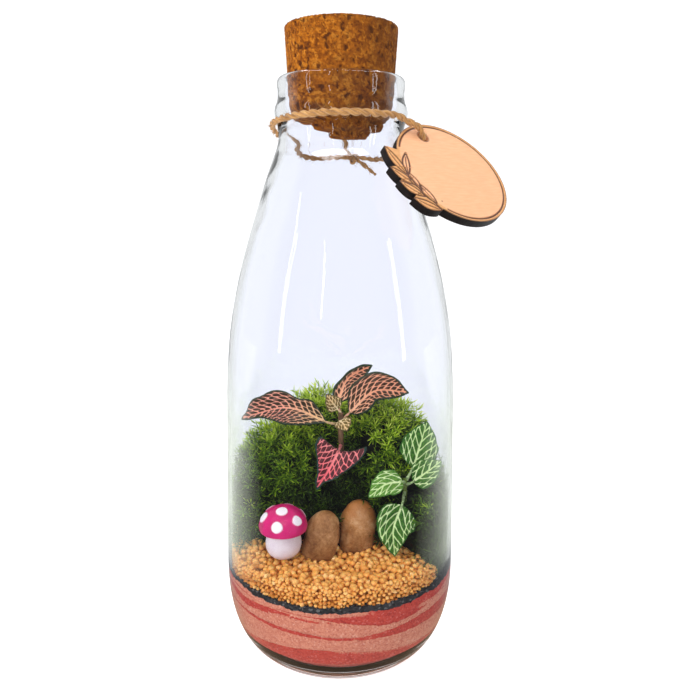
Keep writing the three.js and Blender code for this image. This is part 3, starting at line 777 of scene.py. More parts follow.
def leafOutline(foot, tip, halfWidth):
    # A lens from foot to tip, leaning a little to its left side, and its middle line
    foot, tip = np.array(foot), np.array(tip)
    share = np.linspace(0.0, 1.0, 24)
    side = np.array([-(tip - foot)[1], (tip - foot)[0]]) / np.linalg.norm(tip - foot)
    middle = foot + (tip - foot) * share[:, None] + side * (0.5 * np.sin(math.pi * share))[:, None]
    spread = side * (np.sin(math.pi * share ** 0.9) * halfWidth)[:, None]
    return np.vstack([middle + spread, (middle - spread)[::-1]]), middle


def reachOf(outline, angles):
    # How far a closed outline reaches from the middle in each direction, or zero
    reach = np.zeros(len(angles))
    direction = np.stack([np.cos(angles), np.sin(angles)], axis=1)
    for start, end in zip(outline, np.roll(outline, -1, axis=0)):
        edge = end - start
        cross = direction[:, 0] * edge[1] - direction[:, 1] * edge[0]
        cross = np.where(np.abs(cross) < 1e-9, 1e-9, cross)
        far = (start[0] * edge[1] - start[1] * edge[0]) / cross
        along = (start[0] * direction[:, 1] - start[1] * direction[:, 0]) / cross
        hit = (far > 0) & (along >= 0) & (along <= 1)
        reach = np.where(hit, np.maximum(reach, far), reach)
    return reach


def distanceTo(line, spots):
    # Distance from each spot to a line of points
    best = np.full(len(spots), 1e9)
    for start, end in zip(line, line[1:]):
        edge = end - start
        share = np.clip(((spots - start) @ edge) / max(edge @ edge, 1e-9), 0.0, 1.0)
        best = np.minimum(best, np.linalg.norm(spots - start - share[:, None] * edge, axis=1))
    return best


def tagMaterial():
    material, tree, shader = newMaterial("plywoodCut", Roughness=0.55)
    place = attribute(tree, "flat", "Vector")
    burn = attribute(tree, "burn")
    edge = attribute(tree, "edge")
    grain = noiseOf(tree, stretched(tree, place, (0.22, 1.6, 1.0), 0.5), 1.2, 4.0, 0.6)
    blush = noiseOf(tree, place, 9.0, 2.0)
    face = mixed(tree, ranged(tree, grain, 0.35, 0.65), rgb(232, 170, 125), rgb(239, 182, 137))
    face = mixed(tree, ranged(tree, blush, 0.4, 0.75, 0.0, 0.45), face, rgb(236, 170, 128))
    rim = mixed(tree, ranged(tree, grain, 0.35, 0.65), rgb(204, 142, 84), rgb(222, 166, 108))
    color = mixed(tree, attribute(tree, "rim"), face, rim)
    singed = noiseOf(tree, place, 1.5, 3.0)
    scorch = mixed(tree, singed, rgb(104, 52, 18), rgb(58, 26, 8))
    color = mixed(tree, burn, color, scorch)
    # The cut side is burnt near black, with the layers of the plywood just showing
    layer = noiseOf(tree, stretched(tree, place, (0.15, 0.15, 2.4)), 1.0, 3.0)
    char = ramp(tree, layer, [(0.3, rgb(12, 8, 7)), (0.66, rgb(30, 19, 16)), (0.84, rgb(74, 44, 28))])
    color = mixed(tree, edge, color, char)
    height = plus(tree, grain, times(tree, layer, edge))
    wire(tree, shader, Base_Color=color, Normal=bump(tree, height, 0.08, 0.6))
    return material


def addTag():
    steps, rings, sideRows, thickness = (tag[key] for key in ("steps", "rings", "sideRows", "thickness"))
    angles = fullTurn(steps)
    outlines = [leafOutline(*spec) for spec in sprigLeaves]
    reach = np.full(steps, tag["radius"])
    for outline, _ in outlines[:4]:
        reach = np.maximum(reach, reachOf(outline, angles))
    # Rings of points from the middle of the face over the edge to the middle of the back
    front = np.linspace(0.02, 1.0, rings) ** 0.8
    back = front[::-tag["backStep"]][1:]
    shares = np.concatenate([front, np.ones(sideRows), back])
    depths = np.concatenate([np.zeros(rings), np.linspace(0.0, 1.0, sideRows + 1)[1:], np.ones(len(back))])
    rim = np.stack([reach * np.cos(angles), reach * np.sin(angles), np.zeros(steps)], axis=-1)
    flat = (rim * shares[:, None, None] - [[[0.0, 0.0, thickness]]] * depths[:, None, None]).reshape(-1, 3)
    row = np.repeat(np.arange(len(shares)), steps)
    isTop, isUnder = row < rings, row >= rings + sideRows
    spots = flat[:, :2].copy()
    out = np.hypot(*spots.T)
    # Engraved lines: the ring inside the edge, the sprig's stem, and each leaf's outline and midrib
    ringAt = tag["radius"] - tag["rimBand"]
    turn = np.degrees(np.arctan2(spots[:, 1], spots[:, 0]))
    isBeside = (turn > tag["ringGap"][0]) | (turn < tag["ringGap"][1])
    lines = [np.where(isBeside, 9.0, np.abs(out - ringAt)), distanceTo(smoothLine(sprigStem, 40), spots)]
    for outline, middle in outlines:
        lines.append(distanceTo(np.vstack([outline, outline[:1]]), spots))
        lines.append(distanceTo(middle[3:-5], spots) + 0.12)
    width = tag["lineWidth"]
    engraved = isTop * fade(width * 0.55, width * 1.5, np.min(lines, axis=0))
    flat[:, 2] -= engraved * tag["lineDepth"]
    # Burnt: the lines, a band along the edge, the rim of the hole and one mark
    fromEdge = (reach * (1 - shares[:, None])).ravel()
    fromHole = np.linalg.norm(spots - tag["hole"][:2], axis=1) - tag["hole"][2]
    fromMark = np.linalg.norm(spots - tag["scorchMark"], axis=1)
    burn = np.maximum.reduce([
        engraved, fade(0.0, 0.55, fromEdge) * 0.85 * (isTop | isUnder),
        fade(0.0, 0.5, fromHole) * isTop, fade(0.12, 0.45, fromMark) * isTop,
    ])
    # Small nicks that the cutter left along the edge
    nick = fieldAt(flat * [1.0, 1.0, 0.3], 0.7, 2.0)
    flat[:, :2] *= (1 - 0.004 * np.abs(nick) * ((row >= rings - 1) & ~isUnder))[:, None]
    points, faces = closedRings(flat.reshape(-1, steps, 3), (0.0, 0.0, 0.0), (0.0, 0.0, -thickness))
    piece = makePiece("tag_board", onTag(*points.T), faces)
    ends = (0.0, 0.0)
    setValues(
        piece, flat=points * mm, burn=np.append(burn, ends),
        rim=np.append(isTop * smoothStep(ringAt - 0.1, ringAt + 0.1, out), ends),
        edge=np.append((flat[:, 2] < -0.15) & ~(isTop | isUnder), ends),
    )
    faceOutward(piece)
    # The hole for the twine is cut out with a round punch
    hole = onTag(tag["hole"][0], tag["hole"][1], -thickness / 2) * mm
    bpy.ops.mesh.primitive_cylinder_add(vertices=64, radius=tag["hole"][2] * mm, depth=20 * mm, location=hole)
    punch = bpy.context.object
    punch.rotation_euler = Vector(tagFacing).to_track_quat("Z", "Y").to_euler()
    bpy.context.view_layer.update()
    applyModifier(piece, "BOOLEAN", operation="DIFFERENCE", object=punch, solver="EXACT")
    bpy.data.objects.remove(punch)
    selectOnly(piece)
    bpy.ops.object.shade_smooth_by_angle(angle=math.radians(50.0))
    finishPiece(piece, tagMaterial(), "plywood", "wood_tag")


addTag()
print("tag made")


# ---- twine ----

twine = {
    "radius": 1.3,
    "clear": 0.4,  # off the glass
    "plyOffset": 0.6,
    "plyRadius": 0.74,
    "backShare": 0.74,  # the twine is thinner behind the neck
    "pitch": 7.5,  # millimetres for one turn of the two plies
    "stepLength": 0.34,
    "sides": 14,
    "fibres": 420,
    "seed": 21,
}


def besideNeck(angle, height, off=0.0):
    outer = np.interp(height, outerWall[:, 0], outerWall[:, 1])
    return polar(angle, outer + twine["radius"] + twine["clear"] + off, height)


holeAcross, holeUp, _ = tag["hole"]
twineRoute = [
    besideNeck(172, 203.4, 1.2), besideNeck(-170, 203.7, 0.3), besideNeck(-150, 203.6),
    besideNeck(-130, 205.0), besideNeck(-112, 208.6, 0.1), besideNeck(-92, 211.2, 0.3),
    besideNeck(-70, 212.6, 0.2), besideNeck(-45, 213.4, 0.2), besideNeck(-20, 214.0, 0.2),
    besideNeck(5, 214.3, 0.2), besideNeck(30, 214.2, 0.3), besideNeck(50, 213.9, 0.7),
    onTag(-12.6, 21.0, 2.9), onTag(-7.8, 18.5, 2.6), onTag(holeAcross + 0.3, holeUp - 0.1, -1.0),
    onTag(holeAcross + 0.3, holeUp - 0.3, -5.4), besideNeck(97, 204.4, 0.8), besideNeck(120, 203.2),
    besideNeck(145, 202.9), besideNeck(165, 203.4, 1.2),
]
knotCentre = besideNeck(169, 203.4, 1.4)
upperTail = [knotCentre, besideNeck(176, 207.4, 1.4), besideNeck(-176, 210.6, 1.6)]
lowerTail = [knotCentre, besideNeck(158, 200.2, 1.2), besideNeck(148, 196.6, 0.9)]


def knotRoute():
    # A small overhand knot round the place where the ends meet
    turn = np.linspace(0.0, 2 * math.pi, 60)
    across = unit(np.array([math.cos(math.radians(169)), math.sin(math.radians(169)), 0.0]))
    out = unit(knotCentre * np.array([1.0, 1.0, 0.0]))
    wide = np.sin(turn) + 2 * np.sin(2 * turn)
    tall = np.cos(turn) - 2 * np.cos(2 * turn)
    deep = -np.sin(3 * turn)
    return (
        knotCentre + across * (wide * 0.82)[:, None] + np.array([0.0, 0.0, 0.72]) * tall[:, None]
        + out * (deep * 0.8)[:, None]
    )


def lineLength(line):
    return float(np.linalg.norm(np.diff(line, axis=0), axis=1).sum())


def twineStretch(points, thin):
    # The two twisted plies along a route: nets, and for each point its place on the fibres
    length = lineLength(smoothLine(points, 400))
    count = max(int(length / twine["stepLength"]), 12)
    line = smoothLine(points, count)
    _, side, up = lineFrames(line)
    run = np.linspace(0.0, length, count)
    slender = thin * np.interp(line[:, 1], (-24.0, 12.0), (1.0, twine["backShare"]))
    nets, places = [], []
    for ply in (0.0, math.pi):
        turn = (2 * math.pi * run / twine["pitch"] + ply)[:, None]
        strand = line + (side * np.cos(turn) + up * np.sin(turn)) * (twine["plyOffset"] * slender)[:, None]
        lay = fullTurn(twine["sides"]) - turn * 0.35
        ripple = 1 + 0.05 * np.sin(5 * lay) + 0.035 * np.sin(9 * lay + 1.7)
        swell = 1 + 0.07 * np.sin(run * 0.9 + ply) + 0.05 * np.sin(run * 2.3)
        nets.append(tubeNet(strand, twine["plyRadius"] * slender * swell, twine["sides"], ripple))
        ahead = np.broadcast_to(run[:, None] * 0.16 + ply, lay.shape)
        place = np.stack([np.cos(lay) * 2.2, np.sin(lay) * 2.2, ahead], axis=-1).reshape(-1, 3)
        places.append(np.vstack([place, place[:1], place[-1:]]))
    return nets, places, line


def strayFibres(line, count, draw):
    # Thin hairs that stand off the twine
    ahead, side, up = lineFrames(line)
    nets = []
    for _ in range(count):
        at = draw.randrange(2, len(line) - 2)
        turn = draw.uniform(0.0, 2 * math.pi)
        out = side[at] * math.cos(turn) + up[at] * math.sin(turn)
        along = ahead[at] * draw.choice((-1.0, 1.0))
        start = line[at] + out * twine["radius"] * 0.8
        length = draw.uniform(0.9, 3.0)
        lean = draw.uniform(0.25, 0.9)
        end = start + (out * lean + along) * length * 0.6
        curl = np.array([draw.uniform(-0.4, 0.4) for _ in range(3)])
        hair = smoothLine([start, (start + end) / 2 + out * 0.25 + curl * 0.4, end + curl], 5)
        nets.append(tubeNet(hair, np.linspace(0.06, 0.025, 5), 3))
    return nets


def twineMaterial():
    material, tree, shader = newMaterial("juteTwine", Roughness=0.85, Sheen_Weight=0.25)
    fibre = attribute(tree, "fibre", "Vector")
    stripe = put(tree, "ShaderNodeTexNoise", {"Vector": fibre, "Scale": 1.6, "Detail": 4.0, "Roughness": 0.7})
    stripe = stripe.outputs["Fac"]
    tone = plus(tree, times(tree, stripe, 0.8), times(tree, noiseOf(tree, coords(tree), 4.0, 2.0), 0.2))
    color = ramp(tree, tone, [
        (0.3, rgb(88, 54, 22)), (0.44, rgb(156, 110, 58)),
        (0.57, rgb(200, 150, 90)), (0.72, rgb(230, 192, 134)),
    ])
    wire(tree, shader, Base_Color=color, Normal=bump(tree, stripe, 0.25, 0.9))
    return material


def addTwine():
    draw = random.Random(twine["seed"])
    nets, places = [], []
    tails = [(upperTail, 0.95, 30), (lowerTail, 0.95, 30)]
    for route, thin, hairs in [(twineRoute, 1.0, twine["fibres"]), (knotRoute(), 0.8, 40), *tails]:
        plies, plyPlaces, line = twineStretch(route, thin)
        nets += plies
        places += plyPlaces
        for hair in strayFibres(line, hairs, draw):
            nets.append(hair)
            places.append(np.tile([2.2, 0.0, draw.uniform(0.0, 9.0)], (len(hair[0]), 1)))
    points, faces = joinNets(nets)
    piece = makePiece("twine_plies", points, faces)
    setValues(piece, fibre=np.vstack(places))
    finishPiece(piece, twineMaterial(), "twine", "twine_collar")
    lengths = [lineLength(smoothLine(route, 400)) for route in (twineRoute, upperTail, lowerTail)]
    print("twine made: loop", round(lengths[0]), "mm, tails", round(sum(lengths[1:])), "mm")


addTwine()


# ---- sand ----

sand = {
    "steps": 560,
    "rowHeight": 0.7,
    "blackTop": 39.0,
    "pressed": 0.06,  # the sand touches the glass, so the two overlap by this much
    "looseBelow": 15.0,  # down in the heel it lies just off the glass
    "blackRise": 3.6,  # the band climbs the glass at the right
    "wander": 0.6,  # unevenness of the seams between layers
    "inward": (0.35, 0.7, 0.93),  # shares of the radius at which the rings inside lie
}


def dip(angle, centre, width):
    return np.exp(-(((angle - centre) / width) ** 2))


def wave(angle, turns, start):
    return np.sin(np.radians(angle * turns + start))


# The height where each layer begins at the glass, by the angle, and last where the black one ends
sandSurfaces = [
    lambda a: bottle["floorThickness"] + 0.1 + 0 * a,
    lambda a: 16 + 4.8 * dip(a, -6, 36),
    lambda a: 25.6 - 1.6 * wave(a, 1, 0),
    lambda a: 28.7 + wave(a, 1, 0) - 2.2 * dip(a, 6, 26) + 0.8 * dip(a, 150, 50),
    lambda a: 35 - 5 * dip(a, 27, 26),
    lambda a: 36.6 + 0.25 * wave(a, 6, 50) + 0.2 * wave(a, 11, 0),
    lambda a: sand["blackTop"] - 0.9 * dip(a, -62, 42) + 0.15 * wave(a, 7, 20),
]


def seamWander(index, angle):
    # Small irregular waves of a seam, the same for the layers on both sides of it
    if index == 0:
        return np.zeros_like(angle)
    ring = polar(angle, 44.0, 0.0)
    size = sand["wander"] * (1.0 if index >= 5 else 0.45)
    wide, small = fieldAt(ring, 5.0, index), fieldAt(ring, 0.8, index)
    return size * (0.8 * wide + fieldAt(ring, 1.5, index + 9) + 0.8 * small)


def sandStreak(index, angle, height):
    # How much of the other colour is mixed in at a place on the glass
    streak = np.zeros_like(height)
    if index == 0:
        spread = smoothStep(0.0, 2.4, sandSurfaces[1](angle) - height)
        streak = 0.55 * (1 - spread) * (wave(angle, 4, 0) > -0.2)
    if index == 2:
        streak = 0.35 * (wave(angle, 5, 20) > 0.75)
    if index == 3:
        # A red lens at the left and a thin red line below the black band
        middle = 32.2 + 1.2 * smoothStep(-60.0, -25.0, angle) + 0.5 * wave(angle, 9, 0)
        thick = 1.7 * dip(angle, -52, 22)
        lens = fade(thick * 0.6, thick + 0.35, np.abs(height - middle))
        middle = 34.6 - 2.6 * dip(angle, -38, 9)
        line = 0.8 * fade(0.15, 0.5, np.abs(height - middle)) * dip(angle, -38, 12)
        streak = np.maximum(lens, line)
    if index == 4:
        # A pale seam just below the black band, and another low in the wedge at the right
        seam = between(angle, -75.0, -55.0, 2.0, 24.0) * smoothStep(1.7, 1.2, sandSurfaces[5](angle) - height)
        fromLow = np.abs(height - 33.2 + 0.05 * (angle - 40.0))
        low = between(angle, 34.0, 46.0, 80.0, 110.0) * fade(0.5, 1.1, fromLow)
        streak = np.maximum(seam, low)
    return streak


def sandGrainGroup():
    # Fine grains: a share of dark and of pale grains, and their relief
    group, start, end = newGroup(
        "sandGrain", [("Grain size", "NodeSocketFloat", 0.5)],
        [("Dark", "NodeSocketFloat"), ("Pale", "NodeSocketFloat"), ("Tone", "NodeSocketFloat"),
         ("Normal", "NodeSocketVector")],
    )
    place = coords(group)
    scale = math2(group, "DIVIDE", 1000.0, start["Grain size"])
    cells = put(group, "ShaderNodeTexVoronoi", {"Vector": place, "Scale": scale})
    value = put(group, "ShaderNodeSeparateColor", {0: cells.outputs["Color"]}).outputs[0]
    drift = noiseOf(group, place, 3.5, 3.0)
    relief = math2(group, "SUBTRACT", 1.0, cells.outputs["Distance"])
    wire(
        group, end, Dark=ranged(group, value, 0.8, 0.95), Pale=ranged(group, value, 0.16, 0.02),
        Tone=plus(group, times(group, value, 0.5), times(group, drift, 0.5)),
        Normal=bump(group, relief, 0.16, 0.6),
    )
    return group


sandGrain = sandGrainGroup()
sandColors = {
    "pink": (rgb(184, 104, 82), rgb(208, 136, 108), rgb(162, 70, 58), rgb(222, 166, 142)),
    "red": (rgb(168, 48, 38), rgb(188, 70, 54), rgb(130, 28, 26), rgb(204, 108, 96)),
    "black": (rgb(26, 25, 26), rgb(52, 51, 51), rgb(8, 8, 8), rgb(110, 108, 106)),
}


def sandTint(tree, grain, name):
    low, high, dark, pale = sandColors[name]
    color = mixed(tree, ranged(tree, grain["Tone"], 0.3, 0.7), low, high)
    color = mixed(tree, times(tree, grain["Dark"], 0.7), color, dark)
    return mixed(tree, times(tree, grain["Pale"], 0.65), color, pale)


def sandMaterial(name, main, other):
    material, tree, shader = newMaterial(name, Roughness=0.85)
    grain = useGroup(tree, sandGrain, {"Grain size": 0.55 if main != "black" else 0.8})
    rough = plus(tree, attribute(tree, "streak"), swing(tree, grain["Tone"], 0.7))
    tints = [sandTint(tree, grain, color) for color in (main, other)]
    color = mixed(tree, ranged(tree, rough, 0.4, 0.6), *tints)
    wire(tree, shader, Base_Color=color, Normal=grain["Normal"])
    return material


sandMaterials = {
    "red_sand": sandMaterial("sandRed", "red", "pink"),
    "pink_sand": sandMaterial("sandPink", "pink", "red"),
    "black_sand": sandMaterial("sandBlack", "black", "pink"),
}
sandLayers = [
    ("sand_red_base", "red_sand"), ("sand_pink_lower", "pink_sand"), ("sand_red_middle", "red_sand"),
    ("sand_pink_upper", "pink_sand"), ("sand_red_top", "red_sand"), ("sand_black", "black_sand"),
]


def middleHeight(index):
    return float(np.mean(sandSurfaces[index](np.array([0.0, 120.0, -120.0]))))


def addSandLayer(index, node, slot):
    # Closed skin: out along the lower surface, up the glass and back along the upper surface
    angle = np.linspace(-180.0, 180.0, sand["steps"], endpoint=False)
    lower = sandSurfaces[index](angle) + seamWander(index, angle)
    top = sandSurfaces[index + 1](angle)
    upper = top + seamWander(index + 1, angle)
    if index == 5:
        upper = upper + sand["blackRise"] * between(angle, 48.0, 68.0, 95.0, 130.0)
    upper = np.maximum(upper, lower + 0.25)
    rows = max(int(np.max(upper - lower) / sand["rowHeight"]), 3)
    middleLow, middleHigh = middleHeight(index), middleHeight(index + 1)
    rings = []
    for share in sand["inward"]:
        rings.append(polar(angle, roomAt(lower) * share, middleLow + (lower - middleLow) * share + 0.02))
    for share in np.linspace(0.0, 1.0, rows):
        height = lower + (upper - lower) * share + 0.02
        loose = fade(sand["looseBelow"] - 2.5, sand["looseBelow"], height)
        radius = roomAt(height, -sand["pressed"]) - loose * (sand["pressed"] + 0.12)
        rings.append(polar(angle, radius, height))
    for share in sand["inward"][::-1]:
        height = middleHigh + (np.minimum(upper, top + 0.6) - middleHigh) * share
        rings.append(polar(angle, roomAt(top) * share, height))
    rings = np.array(rings)
    points, faces = closedRings(rings, (0.0, 0.0, middleLow + 0.02), (0.0, 0.0, middleHigh))
    piece = makePiece(node + "_layer", points, faces)
    streak = sandStreak(index, np.tile(angle, len(rings)), rings.reshape(-1, 3)[:, 2])
    setValues(piece, streak=np.append(streak, (0.0, 0.0)))
    faceOutward(piece)
    finishPiece(piece, sandMaterials[slot], slot, node)


for layerIndex, (layerNode, layerSlot) in enumerate(sandLayers):
    addSandLayer(layerIndex, layerNode, layerSlot)
print("sand made")


# ---- stones and toadstool ----

stones = {
    "stone_left": {
        "centre": (-7.3, -17.8, 52.9), "radii": (7.3, 6.0, 11.4), "lean": 11.0, "taper": 0.1, "seed": 1.0,
        "square": 2.5, "pale": 0.25,
    },
    "stone_right": {
        "centre": (7.1, -11.6, 53.0), "radii": (8.1, 6.2, 13.0), "lean": 6.0, "taper": -0.05, "seed": 4.0,
        "square": 2.2, "pale": 0.85,
    },
}


def stoneMaterial(name, pale):
    material, tree, shader = newMaterial(name, Roughness=0.48)
    place = coords(tree)
    broad = noiseOf(tree, place, 9.0, 3.0, 0.6, 0.6)
    fine = noiseOf(tree, place, 1.1, 4.0, 0.7)
    tone = plus(tree, times(tree, broad, 0.75), times(tree, fine, 0.35))
    color = ramp(tree, tone, [
        (0.4, rgb(120, 76, 38)), (0.51, rgb(164, 116, 70)),
        (0.59, rgb(188, 140, 92)), (0.7, rgb(212, 174, 128)),
    ])
    # Rusty staining, most of it near the top
    rust = plus(tree, axisOf(tree, place, "Z"), times(tree, noiseOf(tree, place, 4.0, 3.0, 0.6, 0.8), 0.02))
    color = mixed(tree, ranged(tree, rust, 0.064, 0.075, 0.0, pale), color, rgb(168, 102, 44))
    patch = ranged(tree, noiseOf(tree, place, 3.0, 4.0, 0.7, 1.2), 0.56, 0.7, 0.0, 0.5)
    color = mixed(tree, patch, color, rgb(126, 82, 50))
    speck = ranged(tree, noiseOf(tree, place, 0.6, 3.0, 0.7), 0.62, 0.7, 0.0, 0.6)
    color = mixed(tree, speck, color, rgb(84, 54, 32))
    wire(
        tree, shader, Base_Color=color, Roughness=ranged(tree, fine, 0.3, 0.7, 0.38, 0.58),
        Normal=bump(tree, plus(tree, fine, broad), 0.25, 0.5),
    )
    return material


def addStone(node, setup):
    bpy.ops.mesh.primitive_ico_sphere_add(subdivisions=6, radius=mm)
    piece = bpy.context.object
    piece.name = node + "_body"
    directions = readPoints(piece)
    # Rather squarer than a sphere
    square = setup["square"]
    directions /= (np.abs(directions) ** square).sum(axis=1, keepdims=True) ** (1 / square)
    x, y, z = directions.T
    seed = setup["seed"]
    swell = 1 + 0.035 * np.sin(3 * x + seed) * np.cos(2.5 * z - seed)
    width = swell * (1 - setup["taper"] * z)
    points = np.stack([x * width, y * width, z * swell], axis=1) * np.array(setup["radii"])
    # A few dents keep it from being a plain egg
    dent = fieldAt(points, 6.5, seed) * 0.75 + fieldAt(points, 1.6, seed + 2) * 0.1 - 0.4
    points += unit(points) * dent[:, None]
    lean = Matrix.Rotation(math.radians(setup["lean"]), 3, "Y")
    points = points @ np.array(lean).T + np.array(setup["centre"])
    writePoints(piece, points)
    bpy.ops.object.shade_smooth()
    finishPiece(piece, stoneMaterial(node + "Skin", setup["pale"]), "stone", node)


for stoneNode, stoneSetup in stones.items():
    addStone(stoneNode, stoneSetup)

toadstool = {
    "place": (-21.9, -24.2),
    "foot": 48.2,
    "stemRadius": 6.9,
    "stemTop": 60.8,
    "capRadius": 9.4,
    "capRim": 59.4,
    "capTop": 69.3,
    "steps": 144,
    "dotHeight": 0.28,
    # Raised dots: angle from the front to the right, height on the cap in degrees, radius in millimetres
    "dots": [
        (-3, 67, 2.2), (48, 32, 2.1), (-11, 22, 2.15), (-72, 34, 2.2), (118, 24, 2.1), (165, 42, 2.2),
        (-130, 40, 2.1), (-160, 12, 1.8),
    ],
}


def paintMaterial(name, color, shade, dots=False):
    material, tree, shader = newMaterial(name, Roughness=0.4, Coat_Weight=0.15, Coat_Roughness=0.3)
    place = coords(tree)
    cloud = noiseOf(tree, place, 4.0, 3.0)
    mark = noiseOf(tree, stretched(tree, place, (1.0, 1.0, 3.0)), 1.6, 4.0, 0.65)
    base = mixed(tree, ranged(tree, cloud, 0.35, 0.7), color, shade)
    if dots:
        base = mixed(tree, ranged(tree, mark, 0.64, 0.7, 0.0, 0.5), base, rgb(248, 120, 170))
        base = mixed(tree, attribute(tree, "dot"), base, rgb(246, 236, 240))
    wire(
        tree, shader, Base_Color=base, Roughness=ranged(tree, mark, 0.3, 0.7, 0.26, 0.5),
        Normal=bump(tree, plus(tree, mark, cloud), 0.16, 0.4),
    )
    return material


def addToadstool():
    foot, stemTop, radius = toadstool["foot"], toadstool["stemTop"], toadstool["stemRadius"]
    move = np.array([*toadstool["place"], 0.0])
    stemLine = smoothLine([
        (radius * 0.45, foot), (radius * 0.72, foot + 1.2), (radius - 0.7, foot + 2.7),
        (radius + 0.05, foot + 5.4), (radius - 0.25, foot + 8.4), (radius - 1.1, foot + 11.2),
        (radius - 1.5, stemTop),
    ], 44)
    profile = [(0.0, foot), (radius * 0.4, foot), *stemLine.tolist(), (radius * 0.4, stemTop), (0.0, stemTop)]
    stem = spinProfile("toadstool_foot", profile, toadstool["steps"])
    points = readPoints(stem)
    points[:, :2] *= (1 + 0.012 * fieldAt(points, 5.0, 4.0))[:, None]
    writePoints(stem, points + move)
    white = paintMaterial("toadstoolWhite", rgb(234, 224, 226), rgb(222, 204, 212))
    finishPiece(stem, white, "toadstool_white", "mushroom_stem")
    rim, top, capRadius = toadstool["capRim"], toadstool["capTop"], toadstool["capRadius"]
    shoulder = rim + 1.6

    def onDome(angle):
        return capRadius * math.cos(angle) ** 1.12, shoulder + (top - shoulder) * math.sin(angle) ** 0.95

    dome = [onDome(angle) for angle in np.linspace(0.0, math.pi / 2, 56)[1:-1]]
    under = smoothLine([
        (capRadius - 4.2, stemTop + 0.3), (capRadius - 2.6, stemTop + 0.1), (capRadius - 1.3, rim + 0.05),
        (capRadius - 0.35, rim + 0.3), (capRadius, shoulder),
    ], 20)
    profile = [(0.0, stemTop + 0.3), *under.tolist(), *dome, (0.0, top)]
    cap = spinProfile("toadstool_cap", profile, toadstool["steps"])
    points = readPoints(cap)
    dot = np.zeros(len(points))
    for turn, rise, size in toadstool["dots"]:
        centre = polar(turn, *onDome(math.radians(rise)))
        away = np.linalg.norm(points - centre, axis=1) * (1 + 0.1 * fieldAt(points, 2.0, turn))
        dot = np.maximum(dot, fade(size * 0.9, size * 1.08, away))
    raised = dot * toadstool["dotHeight"] - 0.12 + 0.1 * fieldAt(points, 3.0, 6.0)
    writePoints(cap, points + readNormals(cap) * raised[:, None] + move)
    setValues(cap, dot=dot)
    pink = paintMaterial("toadstoolPink", rgb(214, 16, 112), rgb(190, 6, 92), dots=True)
    finishPiece(cap, pink, "toadstool_pink", "mushroom_cap")


addToadstool()
print("stones and toadstool made")


# ---- gravel ----

gravel = {
    "rimHeight": 46.3,
    "middleHeight": 48.0,
    "grainRadius": (1.1, 1.62),
    "stretch": ((0.85, 1.2), (0.8, 1.1), (0.72, 1.0)),
    "spacing": 1.9,
    "layers": 3,
    "layerDrop": 1.5,
    "hollow": (0.0, -22.0, 15.0, 2.2),  # a shallow bowl round the stones: place, width and depth
    "tries": 26000,
    "wall": {"radius": 44.0, "height": 8.2, "spacing": 1.25, "tries": 42000, "share": 0.66},
    "bare": (57.0, 150.0),  # no grains lie against the glass between these angles
    # The bed is painted darker, as the shade in the gaps between the grains
    "bed": {"radius": 43.3, "drop": 2.4, "edgeDrop": 1.2},  # the darker bed that shows between the grains
    "seed": 31,
}
fillFloor = sand["blackTop"] - 0.9

# The cushion's lobes: middle, then half sizes, in millimetres
mossLobes = np.array([
    (-23, 12, 62, 22, 21, 26), (-9, 22, 68, 22, 19, 31), (17.5, 14, 68, 19, 19, 32),
    (40, -12.5, 53, 8.2, 20, 19), (33, 0, 56, 10, 13, 21), (-38, 0, 58, 9, 12, 19), (0, 20, 52, 50, 33, 17),
], dtype=float)
mossMiddle = np.array([2.0, 14.0, 60.0])


def insideLobes(points, lobes, grow):
    inside = np.zeros(len(points), dtype=bool)
    for lobe in lobes:
        inside |= (((points - lobe[:3]) / (lobe[3:] + grow)) ** 2).sum(axis=1) < 1.0
    return inside


def insideStone(points, setup, grow):
    return insideLobes(points, np.array([[*setup["centre"], *setup["radii"]]], dtype=float), grow)


def keepInside(points, clear):
    # Presses points back inside the glass and above the sand
    flat = points.reshape(-1, 3)
    flat[:, 2] = np.maximum(flat[:, 2], fillFloor)
    out = np.hypot(flat[:, 0], flat[:, 1])
    flat[:, :2] *= np.minimum(1.0, roomAt(flat[:, 2], clear) / np.maximum(out, 1.0))[:, None]
    return flat.reshape(points.shape)


def unitPebble():
    # A cube cut once and rounded, as the start of every grain
    bpy.ops.mesh.primitive_cube_add(size=2.0)
    cube = bpy.context.object
    bpy.ops.object.mode_set(mode="EDIT")
    bpy.ops.mesh.select_all(action="SELECT")
    bpy.ops.mesh.subdivide(number_cuts=1)
    bpy.ops.transform.tosphere(value=0.7)
    bpy.ops.object.mode_set(mode="OBJECT")
    points = readPoints(cube) * mm
    faces = [list(face.vertices) for face in cube.data.polygons]
    bpy.data.objects.remove(cube)
    return points / np.linalg.norm(points, axis=1).max(), faces


def throwSpots(draw, width, height, spacing, tries):
    # Spots on a rectangle that keep apart
    cell = spacing / 1.42
    taken, spots = {}, []
    for _ in range(tries):
        x, y = draw.uniform(0.0, width), draw.uniform(0.0, height)
        column, row = int(x / cell), int(y / cell)
        near = (taken.get((column + i, row + j)) for i in range(-2, 3) for j in range(-2, 3))
        if all(other is None or math.dist(other, (x, y)) >= spacing for other in near):
            taken[(column, row)] = (x, y)
            spots.append((x, y))
    return spots


def gravelTop(x, y):
    share = np.hypot(x, y) / 44.8
    acrossBowl, alongBowl, width, depth = gravel["hollow"]
    bowl = depth * np.exp(-((x - acrossBowl) ** 2 + (y - alongBowl) ** 2) / width ** 2)
    return gravel["middleHeight"] + (gravel["rimHeight"] - gravel["middleHeight"]) * share ** 4 - bowl


